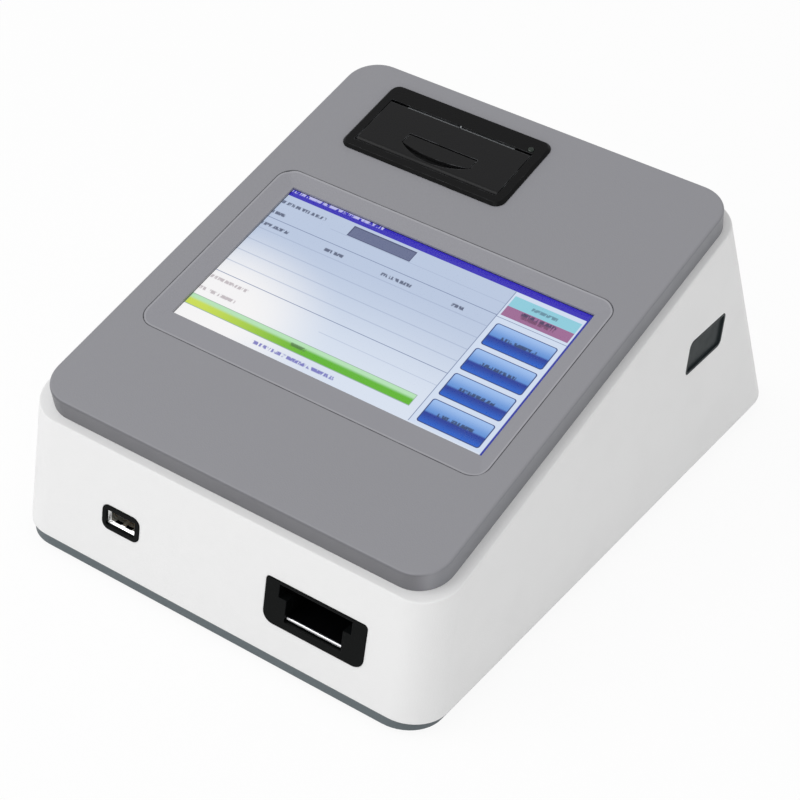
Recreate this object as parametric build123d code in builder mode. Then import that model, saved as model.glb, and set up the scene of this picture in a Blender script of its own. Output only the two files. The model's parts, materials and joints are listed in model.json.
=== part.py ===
from build123d import *
import math
import os

# Rapid test reader: a desk unit with a sloping top cover, touch display, panel printer,
# test card slot and chip socket.  Millimetres, +Z up, front towards -Y, origin on the
# table under the middle of the housing.
#
# The top cover has its own coordinates: u across, v up the slope from the front edge,
# n along the outward normal, with n = 0 on the cover's top face.

# ---------------------------------------------------------------- driving dimensions
# clearances
FIT = 0.15                    # fixed pieces that slip together
GAP = 0.4                     # visible gap round a moving piece
RUNNING = 0.04                # radial clearance of a shaft in its bearing
OVERRUN = 1.0                 # how far a cut runs past the face that it opens
MESH_SLACK = 0.05             # meshed gears are set this much further apart

# heights
FOOT_VISIBLE = 2.5            # rubber foot below the base tray
TRAY_BAND = 4.3               # dark band that shows under the housing
TRAY_FLOOR = 3.5
LIP_HEIGHT = 4.0
LIP_THICK = 1.6

# top cover
SLOPE = 17.0
COVER_HEIGHT = 76.3           # height of the cover's front edge
SKIRT = 10.0                  # how far the cover stands above the ledge
COVER_WALL = 2.5
COVER_CORNER = 15.3
COVER_EDGE = 1.2

# display and its surround, on the cover
WINDOW_WIDTH = 154.0
WINDOW_LENGTH = 88.1
BEVEL_LEFT = 9.5
BEVEL_RIGHT = 7.2
BEVEL_FRONT = 12.45
BEVEL_REAR = 8.45
WINDOW_SHIFT = 1.3            # middle of the window right of the centre line
SURROUND_CORNER = 8.0
SURROUND_V = 52.0             # front edge of the surround
SURROUND_PLATE = 2.8
BEVEL_DEPTH = 1.8
FLANGE_LAP = 3.5
FLANGE_THICK = 2.0
SIDE_MARGIN = 11.65           # cover beside the surround
GLASS_LAP = 3.0
GASKET_THICK = 0.4
GLASS_THICK = 1.8
PANEL_LAP = 5.0
PANEL_THICK = 4.5
BRACKET_THICK = 1.2
BRACKET_TAB = 10.0
SPACER_LENGTH = 6.0
SPACER_RADIUS = 2.5
SPACER_INSET = 4.0            # board's fixing holes in from its edges
TAB_CLEAR = 1.0
BOARD_THICK = 1.6
BOARD_WIDTH = 120.0
BOARD_LENGTH = 70.0
BRACKET_RIM = 9.0
CHIP_SIDE = 16.0
CHIP_THICK = 1.6
PLUG_WIDTH = 22.0
PLUG_DEPTH = 5.0

# printer, on the cover
PRINTER_U = -30.6
PRINTER_LENGTH = 46.5
PRINTER_CORNER = 5.0
PRINTER_GAP_FRONT = 23.6      # cover between the surround and the printer
PRINTER_GAP_REAR = 10.6       # cover behind the printer
BEZEL_HEIGHT = 1.6
BEZEL_BEVEL = 1.2
BEZEL_LAP = 2.5
BUCKET_WALL = 1.8
BEZEL_SIDE = 5.5              # bezel beside the door
DOOR_WIDTH = 74.4
DOOR_LENGTH = 29.0
DOOR_INSET = 5.4              # bezel in front of the door
DOOR_THICK = 2.4
NOSE_RADIUS = 2.6
HINGE_PIN_RADIUS = 1.0
PADDLE_WIDTH = 35.4
PADDLE_LENGTH = 8.6
PADDLE_BULGE = 2.4
PADDLE_FROM_NOSE = 6.1        # front of the paddle behind the door's front edge
PADDLE_THICK = 1.8
PADDLE_PIN_RADIUS = 0.5
PADDLE_PIN_BITE = 1.5
PADDLE_SHIFT = 0.5            # paddle right of the door's middle
PLATEN_RADIUS = 4.0
PLATEN_INSET = 0.5            # roller's end in from the paper's edge
PLATEN_SET_BACK = 0.7         # roller ahead of the door's rear edge
PLATEN_SHAFT_RADIUS = 1.5
PLATEN_DEPTH = 7.2            # platen axis below the door's face
CHEEK_THICK = 1.5
SHAFT_END_INSET = 0.8         # platen shaft's ends inside their bushes
BUSH_RADIUS = 2.5
BUSH_LAND = 1.0               # bush's length inside its cheek
GEAR_MODULE = 0.5
PLATEN_TEETH = 16
IDLER_TEETH = 24
FEED_TEETH = 12
GEAR_WIDTH = 3.0
GEAR_SIDE_GAP = 2.7           # train beside the door's cheek
PRESSURE_ANGLE = 20.0
GEAR_BACKLASH = 0.08          # these four are in modules
GEAR_ROOT = 1.25
GEAR_TIP = 0.95
GEAR_FOOT = 0.3
STUD_RADIUS = 1.25
STUD_END = 0.5                # stud past the idler
FEED_ANGLE = -120.0
MOTOR_RADIUS = 7.5
MOTOR_LENGTH = 12.0
MOTOR_SHAFT_RADIUS = 1.0
MOTOR_RIM = 2.0               # sheet metal round a motor
HEAD_THICK = 1.8
HEAD_INSET = 1.5              # head's end in from the paper's edge
HEAD_DEPTH = 14.0
HEAD_RISE = 3.1               # head's top edge above the roller's axis
HEAD_GAP = 0.3
SHELF_DROP = 2.0
TEAR_GAP = 0.3
TEAR_THICK = 1.2
TEAR_PITCH = 1.5
TEAR_PROUD = 0.4
ROLL_RADIUS = 13.8
ROLL_CORE = 6.0
ROLL_SIDE = 8.7               # paper's edge in from the door's end
ROLL_CLEAR = 0.3
ROLL_DEPTH = 21.0
LED_RADIUS = 1.5
LED_RING = 0.6
LED_FLANGE = 1.0
LED_MARGIN = 1.6

# housing
LEDGE_SIDE = 7.5              # housing's bottom edge outside the cover, at the sides
LEDGE_FRONT = 2.8
LEDGE_REAR = 3.5
SHELL_WALL = 3.0
DECK = 2.5
DRAFT_SIDE = 1.8
DRAFT_FRONT = 1.87
LEAN_REAR = 33.3
CORNER_FRONT = 17.0
CORNER_REAR = 26.0
CORNER_REAR_TOP = 19.0
RIM_RADIUS = 0.8
TRAY_INSET = 2.0
BOSS_RADIUS = 4.5
BOSS_INSET = 14.5
SCREW_RADIUS = 1.5
SCREW_HEAD_RADIUS = 3.0
SCREW_HEAD = 1.6
SCREW_LENGTH = 11.0
SCREW_TIP_GAP = 1.0           # screw's tip short of the wall above it
COVER_POST_RADIUS = 3.5
POST_RADIUS = 3.0
POST_EDGE = 1.0
PIN_INSET = 4.0
FOOT_RADIUS = 8.0
FOOT_SEAT = 1.0
FOOT_INSET = 36.0

# test card slot
CARD_X = 49.3
SLOT_BEZEL_WIDTH = 48.2
SLOT_BEZEL_HEIGHT = 22.3
SLOT_BEZEL_CORNER = 5.0
SLOT_TOP_CORNER = 1.8         # its two upper corners are tighter
SLOT_BEZEL_PROUD = 0.4
SLOT_BEZEL_DEPTH = 5.6
SLOT_LAP = 2.8
SLOT_FLANGE = 1.2
SLOT_BOTTOM = 22.7
CARD_FLOOR = 28.4             # height of the metal floor's top face
CARD_WIDTH = 27.2
CARD_HEIGHT = 8.8
CARD_TOP_WIDTH = 34.8
CARD_TOP_HEIGHT = 6.6
PLATE_THICK = 1.5
PLATE_SIDE_GAP = 0.4
PLATE_SET_BACK = 1.6          # metal floor's bright edge behind the front

# card transport
CARRIAGE_WIDTH = 40.0
CARRIAGE_LENGTH = 78.0
CARRIAGE_FLOOR = 3.0
CARRIAGE_BEHIND = 0.6         # carriage behind the slot bezel
CARRIAGE_TRAVEL = 55.0
CARRIAGE_TOP_DROP = 2.0       # carriage walls below the card head's top
CHANNEL_GAP = 0.4
END_WALL = 3.0
BUSH_WALL = 1.2
BUSH_LENGTH = 10.0
ROD_RADIUS = 2.0
ROD_SPREAD = 26.0
ROD_LENGTH = 136.0
ROD_HEIGHT = 31.0
ROD_SET_BACK = 4.0            # rods' front ends behind the carriage's
EAR_LENGTH = 40.0
EAR_HALF = 4.5
EAR_SET_BACK = 8.5            # ears behind the front posts
EAR_BITE = 0.5
CHASSIS_HALF = 34.0
CHASSIS_THICK = 1.5
CHASSIS_LIFT = 1.5
POST_THICK = 2.0
POST_WIDTH = 11.0
TAB_WIDTH = 10.0
RACK_MODULE = 0.8
RACK_TEETH = 26
RACK_WIDTH = 6.0
RACK_BODY = 2.2
RACK_LEAD = 2.5               # teeth behind the pinion when the carriage is out
RACK_FLANK = 70.0
RACK_TOOTH_FOOT = 0.62        # these two are in modules
RACK_TOOTH_RISE = 1.95
DRIVE_TEETH = 12
DRIVE_WIDTH = 5.0
DRIVE_BACK = 8.5              # pinion axis ahead of the carriage's rear end

# optics
OPTICS_BACK = 106.0           # optical axis behind the carriage's front end
BRIDGE_LENGTH = 28.0
BRIDGE_HEIGHT = 54.0
BRIDGE_THICK = 2.0
OPTICS_SIDE = 22.0
OPTICS_DROP = 8.0
OPTICS_RISE = 12.0
OPTICS_LAP = 3.0
LENS_RADIUS = 4.8
LENS_THICK = 3.0
BARREL_RADIUS = 3.6
LAMP_RADIUS = 2.5
LAMP_OFFSET = 8.2
LAMP_LENGTH = 8.0
LAMP_DOME = 2.0
SENSOR_SIDE = 8.0

# chip socket
SOCKET_X = -48.15
SOCKET_Z = 32.55
SOCKET_FRAME_WIDTH = 19.3
SOCKET_FRAME_HEIGHT = 12.1
SOCKET_FRAME_CORNER = 3.5
SOCKET_PROUD = 0.4
SOCKET_WIDTH = 12.5
SOCKET_HEIGHT = 5.1
SOCKET_WALL = 0.3
SOCKET_LENGTH = 16.0
SOCKET_FLARE = 0.8
SOCKET_FLARE_LENGTH = 1.2
SOCKET_SET_BACK = 0.7
TONGUE_WIDTH = 11.1
TONGUE_THICK = 1.8
TONGUE_BACK = 3.3             # tongue's tip behind the mouth
TONGUE_LIFT = 0.3
SOCKET_BACK = 3.0
CONTACTS = 4
CONTACT_WIDTH = 1.2
CONTACT_PITCH = 2.4
CONTACT_THICK = 0.2
CONTACT_LENGTH = 7.0
CONTACT_BACK = 1.0
SOCKET_BOARD_HALF = 18.0
SOCKET_BOARD_LENGTH = 36.0
SOCKET_BOARD_GAP = 3.6        # board behind the front wall

# side insert
INSERT_Y = 57.8
INSERT_Z = 80.15
INSERT_WIDTH = 35.4
INSERT_HEIGHT = 17.5
INSERT_CORNER = 3.0
INSERT_RIM = 1.2
INSERT_DEPTH = 1.0
INSERT_FLOOR = 1.6
INSERT_LAP = 3.0

# rear ports
BAY_HALF = 50.0
BAY_BOTTOM = 12.0
BAY_HEIGHT = 32.0
BAY_DEPTH = 48.0
BAY_WALL = 2.0
SWITCH_X = 30.0
SWITCH_WIDTH = 15.0
SWITCH_HEIGHT = 21.0
SWITCH_FLANGE = 1.5
SWITCH_BODY_WIDTH = 13.8
SWITCH_BODY_HEIGHT = 19.0
SWITCH_BODY_DEPTH = 12.0
SWITCH_WALL = 0.95
ROCKER_WIDTH = 11.4
ROCKER_REACH = 6.6
ROCKER_TILT = 10.0
ROCKER_PIN_RADIUS = 1.0
ROCKER_SET_IN = 1.7           # pin ahead of the bay's inner wall
ROCKER_FACE = 4.6             # the rocker's outline about its pin
ROCKER_DISH = 3.4
ROCKER_EDGE = 1.0
ROCKER_BELLY = 3.5
ROCKER_BELLY_HALF = 2.0
INLET_X = -30.0
INLET_WIDTH = 9.0
INLET_HEIGHT = 11.0
INLET_LENGTH = 14.0
INLET_BORE = 3.0
INLET_PIN = 1.0
NETWORK_X = 0.0
NETWORK_WIDTH = 16.0
NETWORK_HEIGHT = 13.5
NETWORK_LENGTH = 18.0
NETWORK_BORE_WIDTH = 11.8
NETWORK_BORE_HEIGHT = 8.2
PORT_BOARD_Z = 14.0
PORT_BOARD_LENGTH = 30.0
PORT_BOARD_HALF = 42.0

# on the base tray
POWER_BOARD_X = -52.0
POWER_BOARD_Y = 62.0
POWER_BOARD_WIDTH = 72.0
POWER_BOARD_LENGTH = 48.0
POWER_BOARD_Z = 11.0
SPEAKER_X = -62.0
SPEAKER_Y = -66.0
SPEAKER_RADIUS = 16.0
SPEAKER_HEIGHT = 8.0

# ---------------------------------------------------------------- derived places
sine = math.sin(math.radians(SLOPE))
cosine = math.cos(math.radians(SLOPE))
side_lean = math.tan(math.radians(DRAFT_SIDE))
front_lean = math.tan(math.radians(DRAFT_FRONT))
rear_lean = math.tan(math.radians(LEAN_REAR))

tray_z = FOOT_VISIBLE
shell_z = tray_z + TRAY_BAND
floor_z = tray_z + TRAY_FLOOR

surround_width = WINDOW_WIDTH + BEVEL_LEFT + BEVEL_RIGHT
surround_length = WINDOW_LENGTH + BEVEL_FRONT + BEVEL_REAR
surround_u = WINDOW_SHIFT + (BEVEL_RIGHT - BEVEL_LEFT) / 2
surround_v = SURROUND_V + surround_length / 2
window_v = SURROUND_V + BEVEL_FRONT + WINDOW_LENGTH / 2

cover_width = surround_width + 2 * SIDE_MARGIN
printer_width = DOOR_WIDTH + 2 * BEZEL_SIDE
roll_width = DOOR_WIDTH - 2 * ROLL_SIDE
printer_v0 = SURROUND_V + surround_length + PRINTER_GAP_FRONT
printer_v = printer_v0 + PRINTER_LENGTH / 2
cover_length = printer_v0 + PRINTER_LENGTH + PRINTER_GAP_REAR

shell_half_width = cover_width / 2 + LEDGE_SIDE
ledge_v = cover_length + LEDGE_REAR
ledge_rise = COVER_HEIGHT + ledge_v * sine - SKIRT * cosine - shell_z
shell_depth = LEDGE_FRONT + ledge_v * cosine + SKIRT * sine + rear_lean * ledge_rise
front_y = -shell_depth / 2
rear_y = shell_depth / 2
cover_y = front_y + LEDGE_FRONT
loft_top = COVER_HEIGHT + cover_length * sine
rise = loft_top - shell_z


def cover_plane(depth=0.0):
    """Plane of the cover's top face, lowered by depth; local x is u and local y is v."""
    face = Plane(origin=(0, cover_y, COVER_HEIGHT), x_dir=(1, 0, 0), z_dir=(0, -sine, cosine))
    return face.offset(-depth)


def cross_plane(u, v=0.0, n=0.0):
    """Plane across the cover at (u, v, n): local x runs up the slope, local y outward."""
    origin = (u, cover_y + v * cosine - n * sine, COVER_HEIGHT + v * sine + n * cosine)
    return Plane(origin=origin, x_dir=(0, cosine, sine), z_dir=(1, 0, 0))


def upright_plane(y):
    """Vertical plane at y seen from the front; a negative extrusion runs to the rear."""
    return Plane.XZ.offset(-y)


def side_plane(x, y, z):
    """Vertical plane facing +X at a point: local x runs to the rear, local y up."""
    return Plane(origin=(x, y, z), x_dir=(0, 1, 0), z_dir=(1, 0, 0))


front_wall = Plane(
    origin=(0, front_y, shell_z),
    x_dir=(1, 0, 0),
    z_dir=(0, -math.cos(math.radians(DRAFT_FRONT)), math.sin(math.radians(DRAFT_FRONT))),
)
right_wall = Plane(
    origin=(shell_half_width, 0, shell_z),
    x_dir=(0, 1, 0),
    z_dir=(math.cos(math.radians(DRAFT_SIDE)), 0, math.sin(math.radians(DRAFT_SIDE))),
)


def plan_outline(height, inset):
    """Housing outline at a height above its bottom edge, drawn in by inset."""
    half_width = shell_half_width - height * side_lean - inset
    front = front_y + height * front_lean + inset
    rear = rear_y - height * rear_lean - inset
    rear_corner = CORNER_REAR + (CORNER_REAR_TOP - CORNER_REAR) * height / rise - inset
    with BuildSketch() as outline:
        with Locations((0, (front + rear) / 2)):
            Rectangle(2 * half_width, rear - front)
        fillet(outline.vertices().group_by(Axis.Y)[0], CORNER_FRONT - inset)
        fillet(outline.vertices().group_by(Axis.Y)[-1], rear_corner)
    return outline.sketch


def slot_outline(grow):
    """The slot bezel's outline, grown by a fit: its two upper corners are tighter."""
    with BuildSketch() as outline:
        Rectangle(SLOT_BEZEL_WIDTH + 2 * grow, SLOT_BEZEL_HEIGHT + 2 * grow)
        fillet(outline.vertices().sort_by(Axis.Y)[:2], SLOT_BEZEL_CORNER + grow)
        fillet(outline.vertices().sort_by(Axis.Y)[-2:], SLOT_TOP_CORNER + grow)
    return outline.sketch


def gear_face(teeth, module, turn):
    """Spur gear outline about the origin, with one tooth centred on the angle turn.

    Each flank is an arc through three points of the involute, and each tooth is thinned
    by a small backlash.
    """
    pressure = math.radians(PRESSURE_ANGLE)
    backlash = GEAR_BACKLASH * module
    pitch_radius = teeth * module / 2
    base_radius = pitch_radius * math.cos(pressure)
    root_radius = pitch_radius - GEAR_ROOT * module
    tip_radius = pitch_radius + GEAR_TIP * module
    start_radius = max(base_radius, root_radius)
    half_angle = math.pi / (2 * teeth) - backlash / pitch_radius
    half_angle += math.tan(pressure) - pressure

    def flank_point(radius, side):
        roll = math.acos(min(1.0, base_radius / radius))
        angle = side * (half_angle - math.tan(roll) + roll)
        return (radius * math.cos(angle), radius * math.sin(angle))

    foot_radius = root_radius - GEAR_FOOT * module
    middle_radius = (start_radius + tip_radius) / 2
    lower = [flank_point(r, -1) for r in (start_radius, middle_radius, tip_radius)]
    upper = [flank_point(r, 1) for r in (tip_radius, middle_radius, start_radius)]
    shrink = foot_radius / start_radius
    lower_foot = (lower[0][0] * shrink, lower[0][1] * shrink)
    upper_foot = (upper[2][0] * shrink, upper[2][1] * shrink)
    with BuildSketch() as tooth:
        with BuildLine():
            Line(lower_foot, lower[0])
            ThreePointArc(*lower)
            Line(lower[2], upper[0])
            ThreePointArc(*upper)
            Line(upper[2], upper_foot)
            Line(upper_foot, lower_foot)
        make_face()
    with BuildSketch() as outline:
        Circle(root_radius)
        with PolarLocations(0, teeth, start_angle=turn):
            add(tooth.sketch)
    return outline.sketch


os.makedirs("parts", exist_ok=True)

# ---------------------------------------------------------------- housing shell
# The outside is a ruled loft from the bottom edge up, cut by the ledge that carries the
# cover; the rear wall leans forward much more than the sides and the front.
with BuildPart() as shell_outer:
    with BuildSketch(Plane.XY.offset(shell_z)):
        add(plan_outline(0, 0))
    with BuildSketch(Plane.XY.offset(loft_top)):
        add(plan_outline(rise, 0))
    loft(ruled=True)
    split(bisect_by=cover_plane(SKIRT), keep=Keep.BOTTOM)
    ledge = shell_outer.faces().sort_by(Axis((0, 0, 0), (0, -sine, cosine)))[-1]
    fillet(ledge.edges(), RIM_RADIUS)

with BuildPart() as shell_cavity:
    with BuildSketch(Plane.XY.offset(shell_z)):
        add(plan_outline(0, SHELL_WALL))
    with BuildSketch(Plane.XY.offset(loft_top)):
        add(plan_outline(rise, SHELL_WALL))
    loft(ruled=True)
    split(bisect_by=cover_plane(SKIRT + DECK), keep=Keep.BOTTOM)

boss_x = shell_half_width - BOSS_INSET
boss_front_y = front_y + BOSS_INSET
boss_rear_y = rear_y - BOSS_INSET - rear_lean * BOSS_RADIUS
boss_points = [
    (x, y) for x in (-boss_x, boss_x) for y in (boss_front_y, boss_rear_y)
]
cover_screw_u = cover_width / 2 - COVER_WALL - BOSS_RADIUS
cover_screw_points = [
    (u, v)
    for u in (-cover_screw_u, cover_screw_u)
    for v in (SURROUND_V / 2, cover_length - PRINTER_LENGTH)
]
deck_rim = 2 * BOSS_RADIUS + COVER_WALL
slot_z = SLOT_BOTTOM + SLOT_BEZEL_HEIGHT / 2
bay_y = rear_y - BAY_DEPTH
bay_z = BAY_BOTTOM + BAY_HEIGHT / 2

with BuildPart() as shell_bosses:
    with BuildSketch(Plane.XY.offset(floor_z)):
        with Locations(*boss_points):
            Circle(BOSS_RADIUS)
    extrude(amount=loft_top)
    add(shell_outer.part, mode=Mode.INTERSECT)
    with BuildSketch(Plane.XY.offset(floor_z)):
        with Locations(*boss_points):
            Circle(BOSS_RADIUS)
    extrude(amount=shell_z - floor_z)

with BuildPart() as housing_shell:
    add(shell_outer.part)
    add(shell_cavity.part, mode=Mode.SUBTRACT)
    with BuildSketch(cover_plane(SKIRT)):
        with Locations((0, cover_length / 2)):
            RectangleRounded(
                cover_width - 2 * deck_rim, cover_length - COVER_CORNER, COVER_CORNER / 2
            )
    extrude(amount=-2 * DECK, mode=Mode.SUBTRACT)
    add(shell_bosses.part)
    with BuildSketch(Plane.XY.offset(floor_z)):
        with Locations(*boss_points):
            Circle(SCREW_RADIUS + RUNNING)
    extrude(amount=SCREW_LENGTH + OVERRUN, mode=Mode.SUBTRACT)
    with BuildSketch(cover_plane(SKIRT)):
        with Locations(*cover_screw_points):
            Circle(SCREW_RADIUS + RUNNING)
    extrude(amount=-2 * DECK, mode=Mode.SUBTRACT)
    with BuildSketch(front_wall):
        with Locations((CARD_X, slot_z - shell_z)):
            add(slot_outline(FIT))
        with Locations((SOCKET_X, SOCKET_Z - shell_z)):
            RectangleRounded(
                SOCKET_FRAME_WIDTH + 2 * FIT,
                SOCKET_FRAME_HEIGHT + 2 * FIT,
                SOCKET_FRAME_CORNER + FIT,
            )
    extrude(amount=-2 * SHELL_WALL, mode=Mode.SUBTRACT)
    with BuildSketch(right_wall):
        with Locations((INSERT_Y, INSERT_Z - shell_z)):
            RectangleRounded(
                INSERT_WIDTH + 2 * FIT, INSERT_HEIGHT + 2 * FIT, INSERT_CORNER + FIT
            )
    extrude(amount=-2 * SHELL_WALL, mode=Mode.SUBTRACT)
    with BuildSketch(upright_plane(rear_y)):
        with Locations((0, bay_z)):
            Rectangle(2 * (BAY_HALF + FIT), BAY_HEIGHT + 2 * FIT)
    extrude(amount=BAY_DEPTH, mode=Mode.SUBTRACT)
housing_shell.part.label = "housing_shell"
export_step(housing_shell.part, "parts/housing_shell.step")

# ---------------------------------------------------------------- base tray
# Posts stand on the tray floor under the corners of the pieces that they carry.
chassis_y0 = front_y + SLOT_BEZEL_DEPTH + CARRIAGE_BEHIND + ROD_SET_BACK
chassis_y1 = chassis_y0 + ROD_LENGTH
chassis_z = floor_z + CHASSIS_LIFT
socket_board_z = SOCKET_Z - SOCKET_HEIGHT / 2 - SOCKET_WALL - BOARD_THICK
socket_board_y0 = front_y + SHELL_WALL + SOCKET_BOARD_GAP
socket_board_y1 = socket_board_y0 + SOCKET_BOARD_LENGTH
port_board_y1 = bay_y - FIT
port_board_y0 = port_board_y1 - PORT_BOARD_LENGTH
chassis_points = [
    (CARD_X + side * (CHASSIS_HALF - POST_RADIUS - POST_EDGE), y)
    for side in (-1, 1)
    for y in (chassis_y0 + 2 * POST_WIDTH, chassis_y1 - 2 * POST_WIDTH)
]
socket_posts = [
    (SOCKET_X + side * (SOCKET_BOARD_HALF - PIN_INSET), y)
    for side in (-1, 1)
    for y in (socket_board_y0 + PIN_INSET, socket_board_y1 - PIN_INSET)
]
port_posts = [
    (side * (PORT_BOARD_HALF - PIN_INSET), y)
    for side in (-1, 1)
    for y in (port_board_y0 + PIN_INSET, port_board_y1 - PIN_INSET)
]
power_posts = [
    (POWER_BOARD_X + side * (POWER_BOARD_WIDTH / 2 - PIN_INSET),
     POWER_BOARD_Y + end * (POWER_BOARD_LENGTH / 2 - PIN_INSET))
    for side in (-1, 1)
    for end in (-1, 1)
]
foot_points = [
    (x, y)
    for x in (-shell_half_width + FOOT_INSET, shell_half_width - FOOT_INSET)
    for y in (front_y + FOOT_INSET / 2, rear_y - FOOT_INSET / 2)
]

with BuildPart() as base_tray:
    with BuildSketch(Plane.XY.offset(tray_z)):
        with Locations((0, -TRAY_INSET / 2)):
            Rectangle(2 * (shell_half_width - TRAY_INSET), shell_depth - TRAY_INSET)
        fillet(vertices().group_by(Axis.Y)[0], CORNER_FRONT)
        fillet(vertices().group_by(Axis.Y)[-1], CORNER_REAR - TRAY_INSET)
    extrude(amount=TRAY_BAND)
    with BuildSketch(Plane.XY.offset(floor_z)):
        add(plan_outline(0, SHELL_WALL + 2 * FIT))
    extrude(amount=TRAY_BAND, mode=Mode.SUBTRACT)
    with BuildSketch(Plane.XY.offset(floor_z)):
        add(plan_outline(LIP_HEIGHT, SHELL_WALL + 2 * FIT))
        add(plan_outline(LIP_HEIGHT, SHELL_WALL + 2 * FIT + LIP_THICK), mode=Mode.SUBTRACT)
    extrude(amount=LIP_HEIGHT)
    with BuildSketch(Plane.XY.offset(floor_z)):
        with Locations(*chassis_points):
            Circle(POST_RADIUS)
    extrude(amount=CHASSIS_LIFT)
    with BuildSketch(Plane.XY.offset(floor_z)):
        with Locations(*socket_posts):
            Circle(POST_RADIUS)
    extrude(amount=socket_board_z - floor_z)
    with BuildSketch(Plane.XY.offset(floor_z)):
        with Locations(*port_posts):
            Circle(POST_RADIUS)
    extrude(amount=PORT_BOARD_Z - floor_z)
    with BuildSketch(Plane.XY.offset(floor_z)):
        with Locations(*power_posts):
            Circle(POST_RADIUS)
    extrude(amount=POWER_BOARD_Z - floor_z)
    with BuildSketch(Plane.XY.offset(floor_z)):
        with Locations((SPEAKER_X, SPEAKER_Y)):
            Circle(SPEAKER_RADIUS + FIT + LIP_THICK)
            Circle(SPEAKER_RADIUS + FIT, mode=Mode.SUBTRACT)
    extrude(amount=LIP_HEIGHT / 2)
    with BuildSketch(Plane.XY.offset(tray_z)):
        with Locations(*foot_points):
            Circle(FOOT_RADIUS + FIT)
    extrude(amount=FOOT_SEAT, mode=Mode.SUBTRACT)
    with BuildSketch(Plane.XY.offset(tray_z)):
        with Locations(*boss_points):
            Circle(SCREW_HEAD_RADIUS + FIT)
    extrude(amount=SCREW_HEAD + FIT, mode=Mode.SUBTRACT)
    with BuildSketch(Plane.XY.offset(tray_z)):
        with Locations(*boss_points):
            Circle(SCREW_RADIUS + RUNNING)
    extrude(amount=TRAY_BAND, mode=Mode.SUBTRACT)
base_tray.part.label = "base_tray"
export_step(base_tray.part, "parts/base_tray.step")

# ---------------------------------------------------------------- feet and screws
with BuildPart() as rubber_feet:
    with BuildSketch():
        with Locations(*foot_points):
            Circle(FOOT_RADIUS)
    extrude(amount=FOOT_VISIBLE + FOOT_SEAT)
    chamfer(rubber_feet.edges().group_by(Axis.Z)[0], RIM_RADIUS)
rubber_feet.part.label = "rubber_feet"
export_step(rubber_feet.part, "parts/rubber_feet.step")

base_screw_z = tray_z + SCREW_HEAD + FIT
with BuildPart() as base_screws:
    with BuildSketch(Plane.XY.offset(base_screw_z)):
        with Locations(*boss_points):
            Circle(SCREW_HEAD_RADIUS)
    extrude(amount=-SCREW_HEAD)
    with BuildSketch(Plane.XY.offset(base_screw_z)):
        with Locations(*boss_points):
            Circle(SCREW_RADIUS)
    extrude(amount=SCREW_LENGTH)
base_screws.part.label = "base_screws"
export_step(base_screws.part, "parts/base_screws.step")

with BuildPart() as cover_screws:
    with BuildSketch(cover_plane(SKIRT + DECK)):
        with Locations(*cover_screw_points):
            Circle(SCREW_HEAD_RADIUS)
    extrude(amount=-SCREW_HEAD)
    with BuildSketch(cover_plane(SKIRT + DECK)):
        with Locations(*cover_screw_points):
            Circle(SCREW_RADIUS)
    extrude(amount=SKIRT + DECK - COVER_WALL - SCREW_TIP_GAP)
cover_screws.part.label = "cover_screws"
export_step(cover_screws.part, "parts/cover_screws.step")

# ---------------------------------------------------------------- top cover
cover_v = cover_length / 2
bucket_width = printer_width - 2 * BEZEL_LAP
bucket_length = PRINTER_LENGTH - 2 * BEZEL_LAP
with BuildPart() as top_cover:
    with BuildSketch(cover_plane()):
        with Locations((0, cover_v)):
            RectangleRounded(cover_width, cover_length, COVER_CORNER)
    extrude(amount=-SKIRT)
    fillet(top_cover.faces().sort_by(Axis((0, 0, 0), (0, -sine, cosine)))[-1].edges(), COVER_EDGE)
    with BuildSketch(cover_plane(COVER_WALL)):
        with Locations((0, cover_v)):
            RectangleRounded(
                cover_width - 2 * COVER_WALL,
                cover_length - 2 * COVER_WALL,
                COVER_CORNER - COVER_WALL,
            )
    extrude(amount=-SKIRT, mode=Mode.SUBTRACT)
    with BuildSketch(cover_plane(COVER_WALL)):
        with Locations(*cover_screw_points):
            Circle(COVER_POST_RADIUS)
    extrude(amount=COVER_WALL - SKIRT)
    with BuildSketch(cover_plane(SKIRT)):
        with Locations(*cover_screw_points):
            Circle(SCREW_RADIUS + RUNNING)
    extrude(amount=SKIRT - COVER_WALL, mode=Mode.SUBTRACT)
    with BuildSketch(cover_plane()):
        with Locations((surround_u, surround_v)):
            RectangleRounded(surround_width, surround_length, SURROUND_CORNER)
        with Locations((PRINTER_U, printer_v)):
            RectangleRounded(
                bucket_width + 2 * FIT, bucket_length + 2 * FIT, PRINTER_CORNER - BEZEL_LAP + FIT
            )
    extrude(amount=-SKIRT, mode=Mode.SUBTRACT)
top_cover.part.label = "top_cover"
export_step(top_cover.part, "parts/top_cover.step")

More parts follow.
